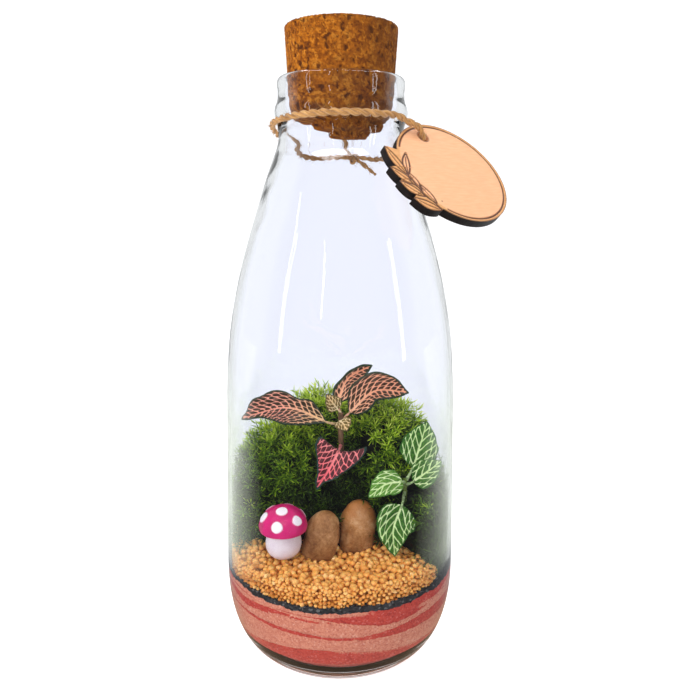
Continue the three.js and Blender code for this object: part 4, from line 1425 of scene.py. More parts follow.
def gravelSpots(draw):
    spots = []
    for layer in range(gravel["layers"]):
        for x, y in throwSpots(draw, 90.0, 66.0, gravel["spacing"], gravel["tries"]):
            x, y = x - 45.0, y - 45.0
            height = gravelTop(x, y) - 1.0 - layer * gravel["layerDrop"] + draw.uniform(-0.7, 0.75)
            if math.hypot(x, y) < roomAt(height) - 1.5:
                spots.append((x, y, height))
    # Grains that lie against the glass, down to the black sand
    wall = gravel["wall"]
    reach = 2 * math.pi * wall["radius"]
    bareFrom, bareTo = gravel["bare"]
    for run, rise in throwSpots(draw, reach, wall["height"], wall["spacing"], wall["tries"]):
        angle = run / reach * 360.0
        height = fillFloor + 0.5 + rise
        if height < gravelTop(-wall["radius"], 0.0) + 0.2 and not bareFrom < angle < bareTo:
            x, y, _ = polar(angle, roomAt(height) - 0.95, height)
            spots.append((x, y, height))
    spots = np.array(spots)
    isTaken = insideLobes(spots, mossLobes, -1.5)
    for setup in stones.values():
        isTaken |= insideStone(spots, setup, 0.1)
    fromStem = np.linalg.norm(spots[:, :2] - toadstool["place"], axis=1)
    isTaken |= (fromStem < toadstool["stemRadius"] + 0.3) & (spots[:, 2] > toadstool["foot"] - 1.6)
    return spots[~isTaken]


def gravelMaterial():
    material, tree, shader = newMaterial(
        "gravelGrain", Roughness=0.5, Subsurface_Weight=0.25, Subsurface_Radius=(0.0012, 0.0006, 0.0002),
    )
    place = coords(tree)
    tone = attribute(tree, "tone")
    fine = noiseOf(tree, place, 0.9, 3.0, 0.6)
    value = plus(tree, times(tree, tone, 0.8), times(tree, fine, 0.25))
    color = ramp(tree, value, [
        (0.08, rgb(196, 120, 42)), (0.3, rgb(230, 156, 70)),
        (0.6, rgb(246, 180, 94)), (0.92, rgb(255, 206, 132)),
    ])
    wire(tree, shader, Base_Color=color, Normal=bump(tree, fine, 0.12, 0.6))
    return material


def tumble(draw):
    first, over, second = draw.uniform(0.0, 6.28), draw.uniform(-0.7, 0.7), draw.uniform(0.0, 6.28)
    return np.array(
        Matrix.Rotation(first, 3, "Z") @ Matrix.Rotation(over, 3, "X") @ Matrix.Rotation(second, 3, "Z"))


def addGravel():
    draw = random.Random(gravel["seed"])
    table = np.random.default_rng(gravel["seed"])
    spots = gravelSpots(draw)
    shape, shapeFaces = unitPebble()
    count = len(spots)
    atGlass = np.hypot(spots[:, 0], spots[:, 1]) > roomAt(spots[:, 2]) - 1.8
    radius = table.uniform(*gravel["grainRadius"], count) * np.where(atGlass, gravel["wall"]["share"], 1.0)
    stretch = np.stack([table.uniform(*span, count) for span in gravel["stretch"]], axis=1)
    turns = np.array([tumble(draw) for _ in range(count)])
    lumps = 1 + table.uniform(-0.18, 0.18, (count, len(shape)))
    grains = shape[None] * lumps[:, :, None] * stretch[:, None, :] * radius[:, None, None]
    grains = np.einsum("nij,nkj->nki", turns, grains) + spots[:, None, :]
    faces = (np.array(shapeFaces)[None] + (np.arange(count) * len(shape))[:, None, None]).reshape(-1, 4)
    piece = makePiece("gravel_grains", keepInside(grains, 0.12).reshape(-1, 3), faces.tolist())
    # Painted shade: some of the deeper grains, down between the others, are darker
    tone = np.clip(table.normal(0.55, 0.16, count), 0.0, 1.0)
    depth = gravelTop(spots[:, 0], spots[:, 1]) - spots[:, 2]
    tone = np.clip(tone - 0.1 * np.maximum(depth - 1.5, 0.0) * (table.random(count) > 0.4), 0.0, 1.0)
    setValues(piece, tone=np.repeat(tone, len(shape)))
    material = gravelMaterial()
    finishPiece(piece, material, "gravel", "gravel_bed")
    bed = gravel["bed"]
    angle = np.linspace(-180.0, 180.0, 96, endpoint=False)
    foot = roomAt(fillFloor)
    rings = [polar(angle, radius, fillFloor + 0.05) for radius in (foot * 0.4, foot * 0.8, foot - 1.3)]
    for share in (1.0, 0.97, 0.9, 0.75, 0.5, 0.25):
        ring = polar(angle, bed["radius"] * share, 0.0)
        drop = bed["drop"] + (bed["edgeDrop"] if share > 0.95 else 0.0)
        ring[:, 2] = gravelTop(ring[:, 0], ring[:, 1]) - drop
        rings.append(ring)
    poles = (0.0, 0.0, fillFloor), (0.0, 0.0, gravelTop(0.0, 0.0) - bed["drop"])
    bottom = makePiece("gravel_bottom", *closedRings(np.array(rings), *poles))
    # Painted shade: the bed takes the darkest grain tone
    setValues(bottom, tone=0.02)
    finishPiece(bottom, material, "gravel", "gravel_bed")
    print("gravel made:", count, "grains")


addGravel()


# ---- plants ----

leafSetup = {
    "thickness": 0.42,
    "step": 0.2,  # millimetres between the points of a blade
    "marginWidth": 0.7,
    "stalkRadius": 0.62,
    "stalkSteps": 26,
    "quilt": 0.34,  # how far the blade swells between its veins
    "groove": 0.25,  # and sinks along the midrib
    "fullWidth": 12.0,  # narrower blades have thinner stalks and less quilting
    "narrow": 9.0,  # blades up to this width have a thin margin
    "peak": 0.74,
    "power": 0.86,
}
pinkStem = {
    "line": [(1.2, 1, 56), (0.8, -2.4, 76), (0.3, -4.6, 90), (0.2, -5, 101)], "radius": 1.15,
    "colors": ((74, 50, 34), (128, 96, 66)),
}
whiteStem = {
    "line": [(27, -8.5, 50), (26.4, -10.6, 62), (26, -12, 75.4)], "radius": 0.9,
    "colors": ((84, 110, 44), (150, 168, 84)),
}
# Each leaf: where its stalk leaves the stem, the blade's base, middle and tip, and the way its upper side
# looks. Peak and power shape the outline; each wave is a side, a place along the blade, its reach and how
# much wider.
pinkLeaves = [
    {"from": 96.2, "base": (-5, -6.4, 97.4), "mid": (-21.5, -5, 103.2), "tip": (-39.8, -8, 99.4),
     "width": 18.5, "face": (0, -0.5, 0.86), "peak": 1.05, "power": 0.9, "waves": [
         (1, 0.38, 0.1, -0.32), (1, 0.5, 0.12, -0.1), (1, 0.66, 0.08, 0.06), (1, 0.85, 0.1, 0.3),
         (-1, 0.82, 0.14, -0.55), (-1, 0.35, 0.2, 0.16)],
     "colors": "young", "cell": 2.3},
    {"from": 100, "base": (-1, 0, 104.2), "mid": (3, 7.6, 112), "tip": (13.4, 11, 117.2), "width": 14,
     "face": (-0.3, -0.78, 0.55), "waves": [(-1, 0.5, 0.4, -0.68), (1, 0.25, 0.3, 0.4)],
     "colors": "salmon", "margin": 1.4, "cell": 1.9},
    {"from": 98.4, "base": (3.6, -5, 101), "mid": (13.8, -4.4, 110), "tip": (27, -8.5, 110.6), "width": 17.5,
     "face": (-0.2, -0.62, 0.76), "peak": 0.8, "waves": [
         (-1, 0.8, 0.1, 0.05), (-1, 0.25, 0.15, -0.05), (1, 0.5, 0.3, -0.36)],
     "colors": "salmon", "margin": 1.1, "cell": 2.3},
    {"from": "top", "base": (-0.9, -6.6, 102.6), "mid": (-3, -8, 106), "tip": (-5.4, -8, 109.4), "width": 7,
     "face": (0.1, -0.9, 0.4), "colors": "cream", "gap": 1.7, "cell": 1.3, "fine": 0.55},
    {"from": 97, "base": (-0.4, -8.6, 98.8), "mid": (0.9, -10.8, 98.6), "tip": (2.8, -13.2, 96),
     "width": 7.5, "face": (-0.2, -0.4, 0.9), "colors": "cream", "gap": 1.7, "cell": 1.6, "fine": 0.55},
    {"from": 87.4, "base": (-0.5, -9.8, 86.6), "mid": (-4, -14.2, 81), "tip": (-9.4, -16.6, 72.8),
     "width": 19, "face": (0.15, -0.85, 0.5), "peak": 0.5, "power": 0.8, "lobes": (4.0, 10.5), "waves": [
         (1, 0.1, 0.2, 0.1), (1, 0.55, 0.3, -0.12), (1, 0.75, 0.25, -0.3), (-1, 0.6, 0.3, -0.3),
         (-1, 0.85, 0.15, -0.5), (-1, 0.1, 0.2, 0.12)],
     "colors": "old", "gap": 2.9, "cell": 2.1},
]
whiteLeaves = [
    {"from": 74.6, "base": (29.4, -11, 80), "mid": (32.4, -9, 89.4), "tip": (35.2, -6, 97.6),
     "width": 15, "face": (-0.1, -0.95, 0.3), "colors": "mid"},
    {"from": 73, "base": (29, -14.6, 75.2), "mid": (34.2, -16.6, 80.4), "tip": (39.6, -16, 84.6),
     "width": 11.6, "face": (-0.4, -0.72, 0.55), "colors": "mid"},
    {"from": 74, "base": (24.9, -14.6, 75.4), "mid": (18, -16.6, 75), "tip": (11.2, -18.4, 70.2),
     "width": 11.5, "face": (0, -0.6, 0.8), "peak": 0.62, "colors": "bright"},
    {"from": 69.6, "base": (24.6, -18, 66.6), "mid": (21, -22.4, 58.8), "tip": (21.4, -25.2, 48.4),
     "width": 14.8, "face": (0.05, -0.95, 0.3), "peak": 0.6, "waves": [(-1, 0.3, 0.3, 0.08)],
     "colors": "mid"},
]
bladeSpots = []  # places on the blades, which the moss keeps clear of
# Half widths of the veins, the gap between side veins and the cells of the net between them, in
# millimetres, and the share of the half blade where the net begins
pinkVeins = {
    "midrib": 0.5, "side": 0.22, "net": 0.16, "gap": 2.7, "cell": 2.1, "slant": 0.75, "bend": 0.05,
    "netFrom": 0.0, "margin": 1.0,
}
whiteVeins = {
    "midrib": 0.42, "side": 0.24, "net": 0.19, "gap": 3.9, "cell": 2.3, "slant": 1.15, "bend": 0.05,
    "netFrom": 0.34, "margin": 0.6,
}


def leafSpine(spec, stem, count):
    # The line from beside the stem along the midrib, and the point of it where the blade starts
    blade = [np.array(spec[key], dtype=float) for key in ("base", "mid", "tip")]
    stemLine = smoothLine(stem["line"], 80)
    if spec["from"] == "top":
        root = stemLine[-1] + [0.0, 0.0, 0.1]
    else:
        beside = stemLine[np.argmin(np.abs(stemLine[:, 2] - spec["from"]))]
        away = unit((blade[0] - beside) * [1.0, 1.0, 0.0])
        root = beside + away * stem["radius"] * 0.8
    line = smoothLine([root, *blade], count)
    return line, np.argmin(np.linalg.norm(line - blade[0], axis=1))


def bladeHalf(spec, along, across):
    # Half the blade's width at each point
    peak, power = spec.get("peak", leafSetup["peak"]), spec.get("power", leafSetup["power"])
    share = np.sin(math.pi * along ** peak) ** power
    wider = np.ones_like(along)
    for side, place, reach, amount in spec.get("waves", []):
        wider += (side * across > 0) * amount * np.exp(-(((along - place) / reach) ** 2))
    return np.maximum(spec["width"] / 2 * share * wider, 0.12)


def veinCones(run, sideways, half, veins, draw):
    # Midrib, side veins and the net between them: each falls from 1 on its middle to 0 at three half widths
    wide = np.abs(sideways)
    steep = math.hypot(1.0, veins["slant"])
    gap = veins["gap"]
    run = run + 0.35 * np.sin(0.9 * wide + 1.3 * sideways / half.max() + 0.7 * run / gap)
    bent = run - veins["slant"] * wide - veins["bend"] * wide ** 2 + 0.2 * gap * np.sign(sideways)
    taper = 1.15 - 0.55 * wide / half.max()
    cones = [
        1 - wide / (3 * veins["midrib"] * (1.2 - 0.75 * run / run.max())),
        1 - np.abs(bent - gap * np.round(bent / gap)) / steep / (3 * veins["side"] * taper),
    ]
    # One row of cells between neighbouring side veins
    rows = int(run.max() / gap) + 12
    tree = kdtree.KDTree(rows * 60)
    count = 0
    for row in range(-11, rows - 11):
        for sign in (-1.0, 1.0):
            spot = draw.uniform(0.15, 0.85) * veins["cell"]
            while spot < 34.0:
                height = ((row + 0.5) * gap + draw.uniform(-0.16, 0.16) * gap) / steep
                tree.insert(Vector((height, sign * spot, 0.0)), count)
                count += 1
                spot += veins["cell"] * draw.uniform(0.7, 1.3)
    tree.balance()
    net = []
    for height, spot in zip((bent / steep).ravel().tolist(), (sideways * steep).ravel().tolist()):
        (_, _, near), (_, _, far) = tree.find_n(Vector((height, spot, 0.0)), 2)
        net.append((far - near) / 2)
    net = 1 - np.array(net).reshape(run.shape) / (3 * veins["net"])
    if veins["netFrom"] > 0:
        net = net * smoothStep(veins["netFrom"] - 0.12, veins["netFrom"] + 0.12, wide / half)
    return np.clip(np.maximum.reduce([*cones, net]), 0.0, 1.0), np.clip(cones[0], 0.0, 1.0)


def addLeaf(node, spec, stem, veins, slot, material, seed):
    line, stalkEnd = leafSpine(spec, stem, 400)
    length = lineLength(line[stalkEnd:])
    rows = max(int(length / leafSetup["step"]), 30)
    columns = max(int(spec["width"] / leafSetup["step"]), 24) | 1
    spine = smoothLine([spec["base"], spec["mid"], spec["tip"]], rows)
    ahead = unit(np.gradient(spine, axis=0))
    look = unit(np.array(spec["face"], dtype=float))
    side = unit(np.cross(ahead, look))
    up = np.cross(side, ahead)
    along = np.linspace(0.0, 1.0, rows)[:, None] * np.ones((1, columns))
    across = np.linspace(-1.0, 1.0, columns)[None, :] * np.ones((rows, 1))
    half = bladeHalf(spec, along, across)
    sideways = across * half
    spread = np.minimum(1.0, 8 * along * (1 - along))
    fold = 0.13 * half * across ** 2 - 0.3 * (1 - np.abs(across)) ** 2
    ripple = 0.3 * across ** 2 * np.sin(7 * along * math.pi + across + seed)
    veins = {**veins, **{key: spec[key] for key in ("gap", "cell") if key in spec}}
    for key in ("midrib", "side", "net"):
        veins[key] *= spec.get("fine", 1.0)
    vein, midrib = veinCones(along * length, sideways, half, veins, random.Random(seed))
    margin = half * (1 - np.abs(across))
    quilt = leafSetup["quilt"] * fade(0.4, 0.8, vein) * smoothStep(0.2, 1.6, margin)
    quilt -= leafSetup["groove"] * midrib
    size = min(1.0, spec["width"] / leafSetup["fullWidth"])
    lift = spread * (fold + ripple) + quilt * size
    rightLobe, leftLobe = spec.get("lobes", (0.0, 0.0))
    lobe = np.where(across > 0, rightLobe, leftLobe) * across ** 2 * (1 - along) ** 2
    lobe *= np.clip(along / 0.1, 0.0, 1.0) ** 0.7
    # The outline is a little uneven
    edge = 1 + 0.015 * np.sin(23 * along + seed) * np.abs(across) ** 6
    points = (
        spine[:, None] + side[:, None] * (sideways * edge)[..., None]
        + up[:, None] * lift[..., None] - ahead[:, None] * lobe[..., None]
    )
    bladeSpots.extend(points[::10, ::8].reshape(-1, 3).tolist())
    piece = makePiece(node + "_blade", points.reshape(-1, 3), gridFaces(rows, columns))
    rimShare = spec.get("margin", veins["margin"] if spec["width"] > leafSetup["narrow"] else 0.5)
    rimWidth = 2 * leafSetup["marginWidth"] * rimShare
    inner = np.clip(np.minimum(margin, (1 - along) * length) / rimWidth, 0.0, 1.0)
    setValues(piece, vein=vein.ravel(), inner=inner.ravel(), along=along.ravel())
    faceOutward(piece)
    isUp = (readNormals(piece) @ look).mean() > 0
    applyModifier(piece, "SOLIDIFY", thickness=leafSetup["thickness"] * mm, offset=-1.0 if isUp else 1.0)
    finishPiece(piece, material, slot, node)
    # The stalk runs on a short way under the midrib
    steps = leafSetup["stalkSteps"]
    stalk = smoothLine(line[: stalkEnd + 24: 6], steps) - look * 0.28
    radius = leafSetup["stalkRadius"] * size * np.linspace(1.15, 0.55, steps)
    stalkPiece = makePiece(node + "_stalk", *tubeNet(stalk, radius, 14))
    setValues(stalkPiece, vein=0.66, inner=1.0, along=0.0)
    finishPiece(stalkPiece, material, slot, node)


def leafTissueGroup():
    # What both plants' leaves share: a mottle between the veins, ragged vein edges and their relief
    group, start, end = newGroup(
        "leafTissue", [("Low", "NodeSocketFloat", 0.6), ("High", "NodeSocketFloat", 0.74)],
        [("Vein", "NodeSocketFloat"), ("Mottle", "NodeSocketFloat"), ("Margin", "NodeSocketFloat"),
         ("Normal", "NodeSocketVector")],
    )
    place = coords(group)
    mottle = noiseOf(group, place, 0.9, 3.0, 0.6)
    vein = attribute(group, "vein")
    rough = plus(group, vein, swing(group, mottle, 0.3))
    rim = ranged(group, plus(group, attribute(group, "inner"), swing(group, mottle, 0.5)), 0.4, 0.62)
    height = math2(group, "SUBTRACT", times(group, mottle, 0.4), ranged(group, vein, 0.3, 0.9))
    wire(
        group, end, Vein=times(group, ranged(group, rough, start["Low"], start["High"]), rim),
        Mottle=mottle, Margin=rim, Normal=bump(group, height, 0.15, 0.7),
    )
    return group


leafTissue = leafTissueGroup()
# Cells dark and light, veins near the blade's base and towards its tip, margin, and how wide the veins open
pinkColors = {
    "young": ((44, 32, 20), (72, 52, 32), (255, 214, 158), (250, 172, 148), (40, 58, 36), 0.58),
    "salmon": ((50, 34, 20), (84, 52, 32), (255, 196, 158), (246, 172, 136), (34, 56, 34), 0.58),
    "cream": ((110, 88, 44), (150, 124, 66), (255, 236, 190), (250, 216, 160), (96, 88, 44), 0.54),
    "old": ((74, 34, 38), (108, 48, 52), (255, 152, 150), (255, 122, 130), (38, 66, 56), 0.58),
}
whiteColors = {
    "mid": ((36, 86, 18), (80, 136, 42), (232, 250, 190), (220, 244, 172), (50, 104, 30), 0.6),
    "bright": ((70, 128, 34), (118, 168, 66), (236, 252, 196), (226, 248, 180), (84, 138, 50), 0.6),
}


def leafMaterial(name, colors):
    *tones, opens = colors
    cellDark, cellLight, veinBase, veinTip, marginColor = [rgb(*tone) for tone in tones]
    material, tree, shader = newMaterial(name, Roughness=0.42)
    tissue = useGroup(tree, leafTissue, {"Low": opens, "High": opens + 0.13})
    cell = mixed(tree, ranged(tree, tissue["Mottle"], 0.35, 0.65), cellDark, cellLight)
    vein = mixed(tree, ranged(tree, attribute(tree, "along"), 0.05, 0.55), veinBase, veinTip)
    vein = mixed(tree, ranged(tree, tissue["Mottle"], 0.5, 0.8, 0.0, 0.3), vein, cellLight)
    color = mixed(tree, tissue["Vein"], cell, vein)
    color = mixed(tree, tissue["Margin"], marginColor, color)
    wire(tree, shader, Base_Color=color, Normal=tissue["Normal"])
    letThrough(tree, shader, color, 0.16)
    return material


def stemMaterial(name, low, high):
    material, tree, shader = newMaterial(name, Roughness=0.6)
    streaks = noiseOf(tree, stretched(tree, coords(tree), (1.0, 1.0, 0.25)), 0.6, 3.0, 0.6)
    color = mixed(tree, ranged(tree, streaks, 0.3, 0.7), low, high)
    wire(tree, shader, Base_Color=color, Normal=bump(tree, streaks, 0.15, 0.6))
    return material


def addStem(node, stem, material, seed):
    # A round stem with three joints and short hairs
    line = smoothLine(stem["line"], 120)
    run = np.linspace(0.0, 1.0, 120)
    joints = 0.12 * np.exp(-(((run[:, None] - np.array([0.35, 0.62, 0.86])) / 0.018) ** 2)).sum(axis=1)
    radius = stem["radius"] * (1.0 - 0.12 * run + joints)
    nets = [tubeNet(line, radius, 28)]
    draw = random.Random(seed)
    _, side, up = lineFrames(line)
    for _ in range(260):
        at = draw.randrange(30, 118)
        turn = draw.uniform(0.0, 6.28)
        out = side[at] * math.cos(turn) + up[at] * math.sin(turn)
        start = line[at] + out * radius[at] * 0.95
        hair = np.array([start, start + out * 0.35, start + out * 0.7 + [0.0, 0.0, 0.12]])
        nets.append(tubeNet(hair, (0.035, 0.028, 0.015), 3))
    finishPiece(makePiece(node + "_stalk", *joinNets(nets)), material, node, node)


def addPlants():
    plants = [
        ("pink", pinkLeaves, pinkStem, pinkVeins, pinkColors, 0, 41),
        ("white", whiteLeaves, whiteStem, whiteVeins, whiteColors, 20, 42),
    ]
    for plant, leaves, stem, veins, colors, leafSeed, _ in plants:
        for number, spec in enumerate(leaves, 1):
            material = leafMaterial(f"{plant}Leaf{number}", colors[spec["colors"]])
            name = f"{plant}_leaf_{number}"
            addLeaf(name, spec, stem, veins, plant + "_leaf", material, leafSeed + number)
    for plant, _, stem, _, _, _, stemSeed in plants:
        low, high = (rgb(*tone) for tone in stem["colors"])
        addStem(plant + "_stem", stem, stemMaterial(plant + "Stem", low, high), stemSeed)


addPlants()
print("plants made")


# ---- soil and moss ----

soil = {"middle": (0.0, 18.0, 52.0), "lobes": [(0.0, 20.0, 46.0, 33.0, 21.0, 25.0)], "roughness": 0.35}


def lobeReach(start, directions, lobes):
    # How far the furthest lobe reaches from a middle point in each direction
    reach = np.zeros(len(directions))
    for lobe in lobes:
        offset = (start - lobe[:3]) / lobe[3:]
        along = directions / lobe[3:]
        a = (along ** 2).sum(axis=1)
        b = along @ offset
        c = offset @ offset - 1
        root = b * b - a * c
        reach = np.maximum(reach, np.where(root > 0, (np.sqrt(np.maximum(root, 0.0)) - b) / a, 0.0))
    return reach


def lobedMass(name, start, lobes, grow):
    # A lumpy mass round a middle point, pressed back to where it fits inside the glass and above the sand
    bpy.ops.mesh.primitive_ico_sphere_add(subdivisions=6, radius=mm)
    piece = bpy.context.object
    piece.name = name
    directions = unit(readPoints(piece))
    x, y, z = directions.T
    reach = lobeReach(start, directions, lobes) + np.sin(x * 9 + y * 5) * np.cos(z * 8 - x * 4) + grow

    def fits(length):
        point = start + directions * length[:, None]
        return (point[:, 2] >= fillFloor) & (np.hypot(point[:, 0], point[:, 1]) <= roomAt(point[:, 2], 0.6))

    low, high = np.zeros(len(reach)), reach.copy()
    for _ in range(24):
        half = (low + high) / 2
        low, high = np.where(fits(half), half, low), np.where(fits(half), high, half)
    reach = np.where(fits(reach), reach, low)
    writePoints(piece, start + directions * reach[:, None])
    bpy.ops.object.shade_smooth()
    return piece


def soilMaterial():
    material, tree, shader = newMaterial("soilDamp", Roughness=0.95)
    place = coords(tree)
    crumb = noiseOf(tree, place, 1.4, 5.0, 0.7)
    color = ramp(tree, crumb, [(0.3, rgb(22, 14, 9)), (0.55, rgb(58, 40, 26)), (0.8, rgb(104, 78, 52))])
    wire(tree, shader, Base_Color=color, Normal=bump(tree, crumb, 0.8, 1.0))
    return material


def addSoil():
    piece = lobedMass("soil_lump", np.array(soil["middle"]), np.array(soil["lobes"]), -0.8)
    points = readPoints(piece)
    crumbs = fieldAt(points, 1.6, 7.0) + 0.5 * fieldAt(points, 0.8, 8.0)
    writePoints(piece, points + readNormals(piece) * (crumbs * soil["roughness"])[:, None])
    finishPiece(piece, soilMaterial(), "soil", "potting_soil")


addSoil()

moss = {
    "coreInset": -2.4,
    "shoots": 2000,
    "shootLength": (4.0, 9.5),
    "leaflets": 16,
    "leafletTurn": 137.5,  # degrees from one leaflet to the next
    "leafletLength": 3.8,
    "leafletWidth": 0.26,  # half width
    "leafletRows": ((0.0, 0.7), (0.35, 1.0), (0.72, 0.7)),  # shares of its length, and the width there
    "fromLeaves": 5.2,  # how far shoots keep from the leaf blades
    "fromGravel": (54.0, -8.0),  # no shoots below this height in front of this depth
    # The hairs on the low front are painted dark, as the shade there
    "hairs": {"count": 2600, "length": (3.0, 7.5), "halfWidth": 0.12, "tones": (0.02, 0.5)},
    "pressedHairs": {"count": 2000, "length": (4.0, 11.0), "halfWidth": 0.16, "tones": (0.2, 0.8)},
    "hairRows": ((0.0, 1.0), (0.3, 0.9), (0.6, 0.7), (0.85, 0.45)),
    # How bright shoots are, as painted light and shade: heights between which the tops of the mounds are
    # painted brighter, and the painted shade in the dip between the two mounds
    "litCrown": (64.0, 92.0),
    "shadedValley": {"place": -1.0, "width": 11.0, "heights": (84.0, 96.0), "depth": 0.4},
    "shootPieces": 3,
    "seed": 11,
}


def mossMaterial():
    material, tree, shader = newMaterial("mossGreen", Roughness=0.5)
    value = plus(tree, times(tree, attribute(tree, "tip"), 0.55), times(tree, attribute(tree, "tone"), 0.6))
    color = ramp(tree, value, [
        (0.12, rgb(8, 12, 2)), (0.38, rgb(36, 56, 5)), (0.58, rgb(88, 126, 12)),
        (0.78, rgb(172, 206, 38)), (0.96, rgb(236, 248, 116)),
    ])
    wire(tree, shader, Base_Color=color)
    letThrough(tree, shader, color, 0.22)
    return material


def surfaceSpots(piece, count, table, wanted):
    # Even random spots on the faces that are wanted: places and outward directions
    mesh = piece.data
    mesh.calc_loop_triangles()
    corners = np.array([tri.vertices[:] for tri in mesh.loop_triangles])
    points = readPoints(piece)[corners]
    cross = np.cross(points[:, 1] - points[:, 0], points[:, 2] - points[:, 0])
    normal, centre = unit(cross), points.mean(axis=1)
    weight = np.linalg.norm(cross, axis=1) * wanted(centre, normal)
    aims = (np.arange(count) + table.random(count)) / count * weight.sum()
    chosen = np.minimum(np.searchsorted(np.cumsum(weight), aims), len(weight) - 1)
    first, second = np.sqrt(table.random(count)), table.random(count)
    mix = np.stack([1 - first, first * (1 - second), first * second], axis=1)
    return (points[chosen] * mix[:, :, None]).sum(axis=1), normal[chosen]


def spreadFrames(direction, turn):
    # Two cross directions for each direction, turned by an angle
    helper = np.where(np.abs(direction[:, 2:3]) > 0.9, [[1.0, 0.0, 0.0]], [[0.0, 0.0, 1.0]])
    side = unit(np.cross(direction, helper))
    other = np.cross(direction, side)
    cos, sin = np.cos(turn)[:, None], np.sin(turn)[:, None]
    return side * cos + other * sin, other * cos - side * sin


def ribbonPiece(name, rows, tips, tipValues, toneValues, material):
    # Tapered ribbons: rows is ribbons x rows x 2 sides x 3, and tips one last point for each
    count, rowCount = rows.shape[:2]
    size = rowCount * 2 + 1
    points = np.concatenate([rows.reshape(count, -1, 3), tips[:, None, :]], axis=1)
    base = (np.arange(count) * size)[:, None]
    faces = []
    for first in range(0, size - 3, 2):
        faces += (base + [first, first + 1, first + 3, first + 2]).tolist()
    faces += (base + [size - 3, size - 2, size - 1]).tolist()
    piece = makePiece(name, points.reshape(-1, 3), faces)
    along = np.concatenate([np.repeat(tipValues, 2, axis=1), np.ones((count, 1))], axis=1)
    setValues(piece, tip=along.ravel(), tone=np.repeat(toneValues, size))
    finishPiece(piece, material, "moss", "moss_cushion")


def shootLeaflets(foot, direction, table):
    # The leaflets of every shoot, spiralling up its axis and fanning out into a star at its end
    shoots, leaflets = len(foot), moss["leaflets"]
    shape = (shoots, leaflets)
    side, other = spreadFrames(direction, table.uniform(0.0, 6.28, shoots))
    step = np.linspace(0.0, 1.0, leaflets)
    turn = np.arange(leaflets) * math.radians(moss["leafletTurn"]) + table.uniform(-0.3, 0.3, shape)
    rise = table.uniform(*moss["shootLength"], shoots)[:, None] * (0.2 + 0.8 * step)
    lean = np.radians(78 - 46 * step ** 1.8) + table.uniform(-0.25, 0.25, shape)
    reach = moss["leafletLength"] * (0.75 + 0.35 * np.sin(math.pi * step)) * table.uniform(0.75, 1.2, shape)
    out = side[:, None] * np.cos(turn)[..., None] + other[:, None] * np.sin(turn)[..., None]
    across = -side[:, None] * np.sin(turn)[..., None] + other[:, None] * np.cos(turn)[..., None]
    bend = table.uniform(-0.3, 0.35, shape)

    def middleAt(share):
        angle = lean + bend * share
        ahead = (rise + reach * share * np.cos(angle))[..., None]
        return foot[:, None] + direction[:, None] * ahead + out * (reach * share * np.sin(angle))[..., None]

    rows = []
    for share, wide in moss["leafletRows"]:
        middle, half = middleAt(share), across * (moss["leafletWidth"] * wide)
        rows.append(np.stack([middle - half, middle + half], axis=2))
    rows = np.stack(rows, axis=2).reshape(shoots * leaflets, -1, 2, 3)
    shares = np.array([share for share, _ in moss["leafletRows"]])
    heights = np.tile(0.55 * step[:, None] ** 1.5 + 0.45 * shares, (shoots, 1))
    return rows, middleAt(1.0).reshape(-1, 3), heights


def nearBlades(points, reach):
    tree = kdtree.KDTree(len(bladeSpots))
    for i, spot in enumerate(bladeSpots):
        tree.insert(Vector(spot), i)
    tree.balance()
    return np.array([tree.find(Vector(point))[2] < reach for point in points.tolist()])


def nearOrnaments(points):
    fromToadstool = np.linalg.norm(points[:, :2] - toadstool["place"], axis=1)
    near = (fromToadstool < toadstool["capRadius"] + 0.5) & (points[:, 2] < toadstool["capTop"] + 0.5)
    for setup in stones.values():
        near |= insideStone(points, setup, 0.6)
    return near


def isPressed(centre, clear):
    # Whether a place on the cushion lies against the glass
    return np.hypot(centre[:, 0], centre[:, 1]) > roomAt(centre[:, 2]) - clear


def isOpen(centre, normal):
    return (normal[:, 2] > -0.5) & (centre[:, 2] > fillFloor + 6.0) & ~isPressed(centre, 2.2)


def isLowFront(centre, normal):
    front = (centre[:, 1] < 12.0) & (centre[:, 2] < 78.0) & (centre[:, 2] > fillFloor + 4.5)
    return front & (normal[:, 2] < 0.75)


def isAtGlass(centre, _):
    return isPressed(centre, 2.4) & (centre[:, 2] > fillFloor + 2)


def addMossCore(material):
    core = lobedMass("moss_core", mossMiddle, mossLobes, moss["coreInset"])
    points = readPoints(core)
    lumps = (0.8 * fieldAt(points, 2.2, 5.0))[:, None]
    writePoints(core, keepInside(points + readNormals(core) * lumps, 0.5))
    # Painted shade: the core is near black, as the shade deep in the cushion
    setValues(core, tip=0.0, tone=0.04)
    finishPiece(core, material, "moss", "moss_cushion")
    return core


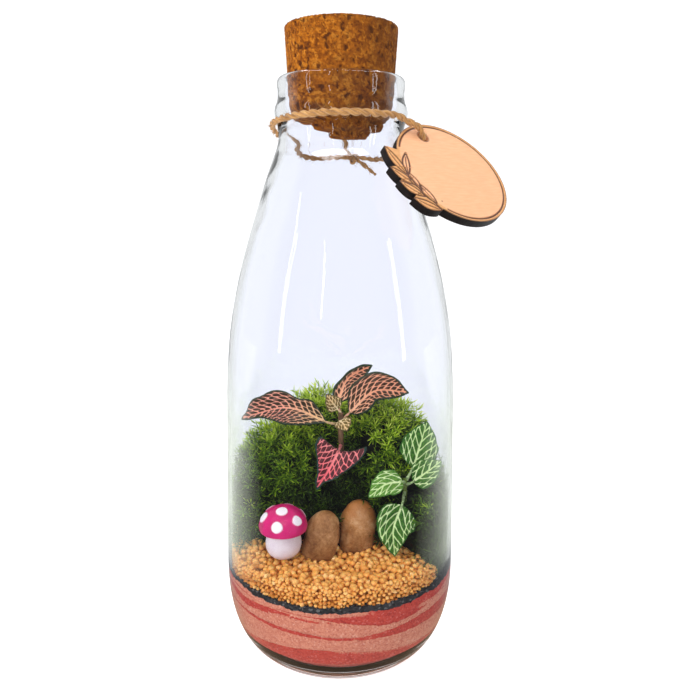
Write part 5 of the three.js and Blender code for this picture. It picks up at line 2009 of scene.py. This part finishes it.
def addMossShoots(core, table, material):
    foot, normal = surfaceSpots(core, moss["shoots"], table, isOpen)
    direction = unit(normal + table.uniform(-0.55, 0.55, foot.shape) + [0.0, -0.15, 0.3])
    clear = ~nearOrnaments(foot + direction * 5.0) & ~nearBlades(foot + direction * 6.0, moss["fromLeaves"])
    # At the front the cushion stops short of the gravel
    height, depth = moss["fromGravel"]
    clear &= ~((foot[:, 2] < height) & (foot[:, 1] < depth))
    foot, direction = foot[clear], direction[clear]
    rows, tips, heights = shootLeaflets(foot, direction, table)
    hollow, height = moss["shadedValley"], foot[:, 2]
    # Painted light: high shoots and those that face up are brighter; painted shade: low shoots in the dip
    # between the mounds are darker
    litCrown = smoothStep(*moss["litCrown"], height) * 0.5 + 0.25 * np.clip(direction[:, 2], 0.0, 1.0)
    shadedValley = np.exp(-((foot[:, 0] - hollow["place"]) / hollow["width"]) ** 2)
    shadedValley *= hollow["depth"] * fade(*hollow["heights"], height)
    tone = litCrown - shadedValley + 0.2 * fieldAt(foot, 7.0, 3.0)
    tone = np.clip(tone + table.normal(0.02, 0.15, len(foot)), 0.0, 1.0)
    tone = np.repeat(tone, moss["leaflets"])
    rows, tips = keepInside(rows, 0.25), keepInside(tips, 0.25)
    parts = moss["shootPieces"]
    for part in range(parts):
        pick = slice(part * len(rows) // parts, (part + 1) * len(rows) // parts)
        ribbonPiece(f"moss_shoots_{part + 1}", rows[pick], tips[pick], heights[pick], tone[pick], material)
    print("moss made:", len(foot), "shoots")


def addMossHairs(name, core, setup, wanted, table, material):
    # Long thin strands that lie over the cushion
    count = setup["count"]
    foot, normal = surfaceSpots(core, count, table, wanted)
    direction = unit(normal * 0.55 + table.uniform(-0.8, 0.8, foot.shape) + [0.0, 0.0, 0.35])
    bend = unit(table.uniform(-1.0, 1.0, foot.shape)) * 0.45
    length = table.uniform(*setup["length"], count)
    shares, widths = np.array(moss["hairRows"]).T[:, None, :, None]
    run = direction[:, None] * shares + bend[:, None] * shares ** 2
    middle = foot[:, None] + length[:, None, None] * run
    side, _ = spreadFrames(direction, table.uniform(0.0, 6.28, count))
    half = side[:, None] * widths * setup["halfWidth"]
    rows = np.stack([middle - half, middle + half], axis=2)
    tips = foot + length[:, None] * (direction + bend)
    keep = ~nearOrnaments(tips) & ~nearOrnaments(middle[:, 2]) & ~nearBlades(middle[:, 2], 1.6)
    rows, tips = keepInside(rows[keep], 0.2), keepInside(tips[keep], 0.2)
    tone = table.uniform(*setup["tones"], count)[keep] ** 1.4
    heights = np.broadcast_to(shares[..., 0] * 0.8, (len(rows), len(moss["hairRows"])))
    ribbonPiece(name, rows, tips, heights, tone, material)


def addMoss():
    table = np.random.default_rng(moss["seed"])
    material = mossMaterial()
    core = addMossCore(material)
    addMossShoots(core, table, material)
    addMossHairs("moss_hairs", core, moss["hairs"], isLowFront, table, material)
    addMossHairs("moss_pressed", core, moss["pressedHairs"], isAtGlass, table, material)


addMoss()
